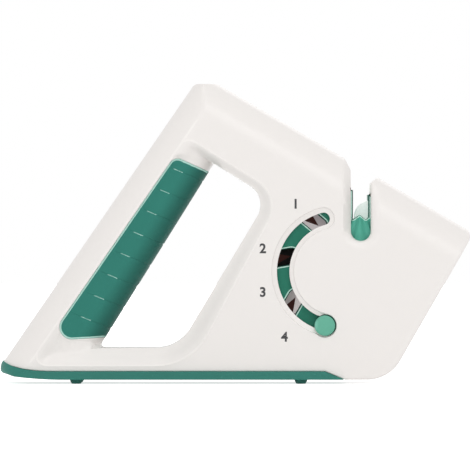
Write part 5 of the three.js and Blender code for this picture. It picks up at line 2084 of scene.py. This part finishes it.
class SHARPENER_OT_screws(bpy.types.Operator):
    """Make the cross-headed screws of the casing, the base plate and the drum"""

    bl_idname = "sharpener.screws"
    bl_label = "Screws"

    def execute(self, context):
        for name, node, count, body, shank, length, head, turn in SCREW_SETS:
            nodes = [f"{node}_{i}" for i in range(1, count + 1)]
            low, high = node_box(nodes[0])
            axis = 2 if turn[0] > 0 else 1
            height = high[axis] - low[axis] - length
            mesh = screw_mesh(name + "_form", shank, length, head, height)
            places = []
            for each in nodes:
                place = node_middle(each)
                low, high = node_box(each)
                place[axis] = low[2] + height if axis == 2 else high[1] - height
                places.append(place)
            piece = scattered(name, mesh, places, turn, "steel", spin=math.pi / 2)
            dress(piece, body, "steel", *nodes)
        return {"FINISHED"}


# The fittings

# Bores of the washers and of the stone, and how far the stone and the plates are drawn from the
# solids to match the photograph.
WASHER_BORE = 2.65
STONE_BORE = 1.15
STONE_SHIFT = (-0.3, 0, 1.3)
PLATE_LOWER = 1.1

# The stations with plates, in the order in which they come upright, and their slots.
PLATE_SLOTS = (("finish", "grey_ceramic"), ("fine", "diamond_coating"), ("coarse", "carbide"))


def pin_profile(radius, half, edge):
    return [(0, -half), (radius - edge, -half), (radius, -half + edge), (radius, half - edge),
            (radius - edge, half), (0, half)]


def ring_profile(bore, radius, half, edge):
    return [(bore + edge, -half), (radius - edge, -half), (radius - 0.3 * edge, -half + 0.3 * edge),
            (radius, -half + edge), (radius, half - edge), (radius - 0.3 * edge, half - 0.3 * edge),
            (radius - edge, half), (bore + edge, half), (bore, half - edge), (bore, -half + edge)]


def lathed(name, profile, middle, body, slot, node):
    """A piece turned about a line across the object, from (radius, distance) points."""
    mesh = turned_mesh(name, profile, 64, bore=profile[0][0] > 0)
    return dress(linked(name, moved_mesh(mesh, middle, TO_VIEWER)), body, slot, node)


def plate_piece(name, node, number, slot):
    """A bevelled copy of a plate's solid, set lower in its channel."""
    piece = linked(name, NODES[node].data.copy())
    x, z = -PLATE_LOWER * heading(math.radians(90 + STATION_TURN * number))
    moved_mesh(piece.data, (x, 0, z))
    bevelled(piece, 0.22, 30, 2)
    return dress(piece, DRUM_BODY, slot, node)


class SHARPENER_OT_fittings(bpy.types.Operator):
    """Make the axle, washers, stone, pin and plates, and give the spring its finish"""

    bl_idname = "sharpener.fittings"
    bl_label = "Fittings"

    def execute(self, context):
        lathed("axle", pin_profile(*node_span("axle_pin"), 0.5), AXLE, CASING_BODY, "steel", "axle_pin")
        for name, node in (("washer_near", "near_washer"), ("washer_far", "far_washer")):
            ring = ring_profile(WASHER_BORE, *node_span(node), 0.1)
            lathed(name, ring, node_middle(node), CASING_BODY, "steel", node)
        middle = node_middle("scissor_stone") + STONE_SHIFT
        ring = ring_profile(STONE_BORE, *node_span("scissor_stone"), 0.35)
        lathed("stone", ring, middle, DRUM_BODY, "white_ceramic", "scissor_stone")
        rod = pin_profile(*node_span("stone_pin"), 0.2)
        lathed("stone_rod", rod, middle, DRUM_BODY, "steel", "stone_pin")
        for number, (station, slot) in enumerate(PLATE_SLOTS, 1):
            for place in ("near", "far"):
                plate_piece(f"{station}_{place}", f"{station}_plate_{place}", number, slot)
        slots = {row["node"]: row["material_slot"] for row in frame["record"]["subparts"]}
        for name, part in NODES.items():
            if part.hide_render:
                continue
            part.data.materials.clear()
            part.data.materials.append(material(slots[name]))
        return {"FINISHED"}


# The stage

# The camera's sensor, its distance and place, and the width of the picture in pixels of the
# photograph, all but the last in millimetres.
SENSOR = 36
VIEW_FROM = 3000
VIEW_X = -0.1
VIEW_Z = 63.2
PICTURE_WIDTH = 472.6

# Lamps: name, place, size, power and how much they shine in gloss, in metres and watts.
LAMPS = (
    ("key", (0.6, -2.2, 1.3), 0.9, 7, 1.0),
    ("top", (0.0, -0.9, 2.4), 1.4, 7.5, 0.3),
    ("left", (-0.72, -2.55, 0.55), 0.35, 3.8, 1.0),
    ("back", (0.3, 1.5, 1.2), 1.2, 3.0, 1.0),
)
LAMP_TARGET = (0, 0, 0.06)

# The floor: half its width in metres, its colour, its level of light as the camera sees it near
# the object, what it gains far away, from where and how fast, and the light it gives the object.
FLOOR_HALF = 6
FLOOR_TONE = 0.86
NEAR_LEVEL = 0.7
FAR_GAIN = 0.35
FAR_FROM = 0.25
FAR_RATE = 1.2
BOUNCE = 0.1

# Light from all sides on the object, against the white that the camera sees.
AROUND = 0.795


def seen_mask(tree):
    """One for what the camera sees directly, in gloss or through something."""
    path = tree.nodes.new("ShaderNodeLightPath").outputs
    seen = maths(tree, "MAXIMUM", path["Is Camera Ray"], path["Is Glossy Ray"])
    return maths(tree, "MAXIMUM", seen, path["Is Transmission Ray"])


def floor_paint():
    """A matt floor that the camera sees as nearly white."""
    paint = bpy.data.materials.new("PaleFloor")
    tree = cleared(paint)
    matt = tree.nodes.new("ShaderNodeBsdfDiffuse")
    matt.inputs["Color"].default_value = (FLOOR_TONE, FLOOR_TONE, FLOOR_TONE, 1)
    seen = seen_mask(tree)
    away = vector_maths(tree, "LENGTH", tree.nodes.new("ShaderNodeTexCoord").outputs["Object"])
    far = maths(tree, "MULTIPLY", maths(tree, "SUBTRACT", away, FAR_FROM), FAR_RATE, clamp=True)
    level = maths(tree, "ADD", maths(tree, "MULTIPLY", far, FAR_GAIN), NEAR_LEVEL)
    bounce = maths(tree, "MULTIPLY", maths(tree, "SUBTRACT", 1.0, seen), BOUNCE)
    glow = tree.nodes.new("ShaderNodeEmission")
    feed(tree, glow.inputs["Strength"], maths(tree, "ADD", maths(tree, "MULTIPLY", seen, level), bounce))
    both = tree.nodes.new("ShaderNodeAddShader")
    feed(tree, both.inputs[0], matt.outputs[0])
    feed(tree, both.inputs[1], glow.outputs[0])
    feed(tree, tree.nodes.new("ShaderNodeOutputMaterial").inputs[0], both.outputs[0])
    return paint


def studio_world():
    world = bpy.data.worlds.new("studio")
    tree = cleared(world)
    mix = tree.nodes.new("ShaderNodeMixShader")
    feed(tree, mix.inputs[0], seen_mask(tree))
    for socket, strength in ((1, AROUND), (2, 1.0)):
        light = tree.nodes.new("ShaderNodeBackground")
        light.inputs["Color"].default_value = WHITE
        light.inputs["Strength"].default_value = strength
        feed(tree, mix.inputs[socket], light.outputs[0])
    feed(tree, tree.nodes.new("ShaderNodeOutputWorld").inputs[0], mix.outputs[0])
    return world


def add_lamp(name, place, size, power, shine):
    light = bpy.data.lights.new(name, "AREA")
    light.shape = "DISK"
    light.size = size
    light.energy = power
    light.specular_factor = shine
    lamp = linked(name, light)
    lamp.location = place
    aim = Vector(LAMP_TARGET) - Vector(place)
    lamp.rotation_euler = aim.to_track_quat("-Z", "Y").to_euler()


def add_camera():
    """A level camera, far enough away to see the object square."""
    camera = bpy.data.cameras.new("view")
    camera.sensor_width = SENSOR
    camera.lens = SENSOR * VIEW_FROM / (PICTURE_WIDTH * PIXEL)
    camera.clip_start, camera.clip_end = 0.1, 50
    viewer = linked("view", camera)
    viewer.location = (VIEW_X * MM, -VIEW_FROM * MM, VIEW_Z * MM)
    viewer.rotation_euler = (math.pi / 2, 0, 0)
    return viewer


class SHARPENER_OT_stage(bpy.types.Operator):
    """Set the floor, the lights and the camera"""

    bl_idname = "sharpener.stage"
    bl_label = "Stage"

    def execute(self, context):
        scene = context.scene
        scene.view_settings.view_transform = "Standard"
        mesh = bpy.data.meshes.new("floor")
        corners = [(x * FLOOR_HALF, y * FLOOR_HALF, 0) for x, y in ((-1, -1), (1, -1), (1, 1), (-1, 1))]
        mesh.from_pydata(corners, [], [(0, 1, 2, 3)])
        mesh.materials.append(floor_paint())
        linked("floor", mesh)
        scene.world = studio_world()
        for lamp in LAMPS:
            add_lamp(*lamp)
        scene.camera = add_camera()
        return {"FINISHED"}


STEPS = (
    SHARPENER_OT_casing, SHARPENER_OT_grip, SHARPENER_OT_base, SHARPENER_OT_drum, SHARPENER_OT_knob,
    SHARPENER_OT_numerals, SHARPENER_OT_screws, SHARPENER_OT_fittings, SHARPENER_OT_stage,
)


class SHARPENER_PT_panel(bpy.types.Panel):
    """Sizes, colours and steps of the sharpener"""

    bl_idname = "SHARPENER_PT_panel"
    bl_label = "Knife and scissor sharpener"
    bl_space_type = "VIEW_3D"
    bl_region_type = "UI"
    bl_category = "Sharpener"

    def draw(self, context):
        for group in (context.scene.sharpener_sizes, context.scene.sharpener_colours):
            box = self.layout.box()
            for name in group.__annotations__:
                box.prop(group, name)
        for step in STEPS:
            self.layout.operator(step.bl_idname)


CLASSES = (SharpenerSizes, SharpenerColours, *STEPS, SHARPENER_PT_panel)


def register():
    for each in CLASSES:
        bpy.utils.register_class(each)
    bpy.types.Scene.sharpener_sizes = bpy.props.PointerProperty(type=SharpenerSizes)
    bpy.types.Scene.sharpener_colours = bpy.props.PointerProperty(type=SharpenerColours)


def unregister():
    del bpy.types.Scene.sharpener_sizes
    del bpy.types.Scene.sharpener_colours
    for each in reversed(CLASSES):
        bpy.utils.unregister_class(each)


def main():
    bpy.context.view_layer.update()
    register()
    for step in STEPS:
        area, name = step.bl_idname.split(".")
        getattr(getattr(bpy.ops, area), name)()


if __name__ == "__main__":
    main()
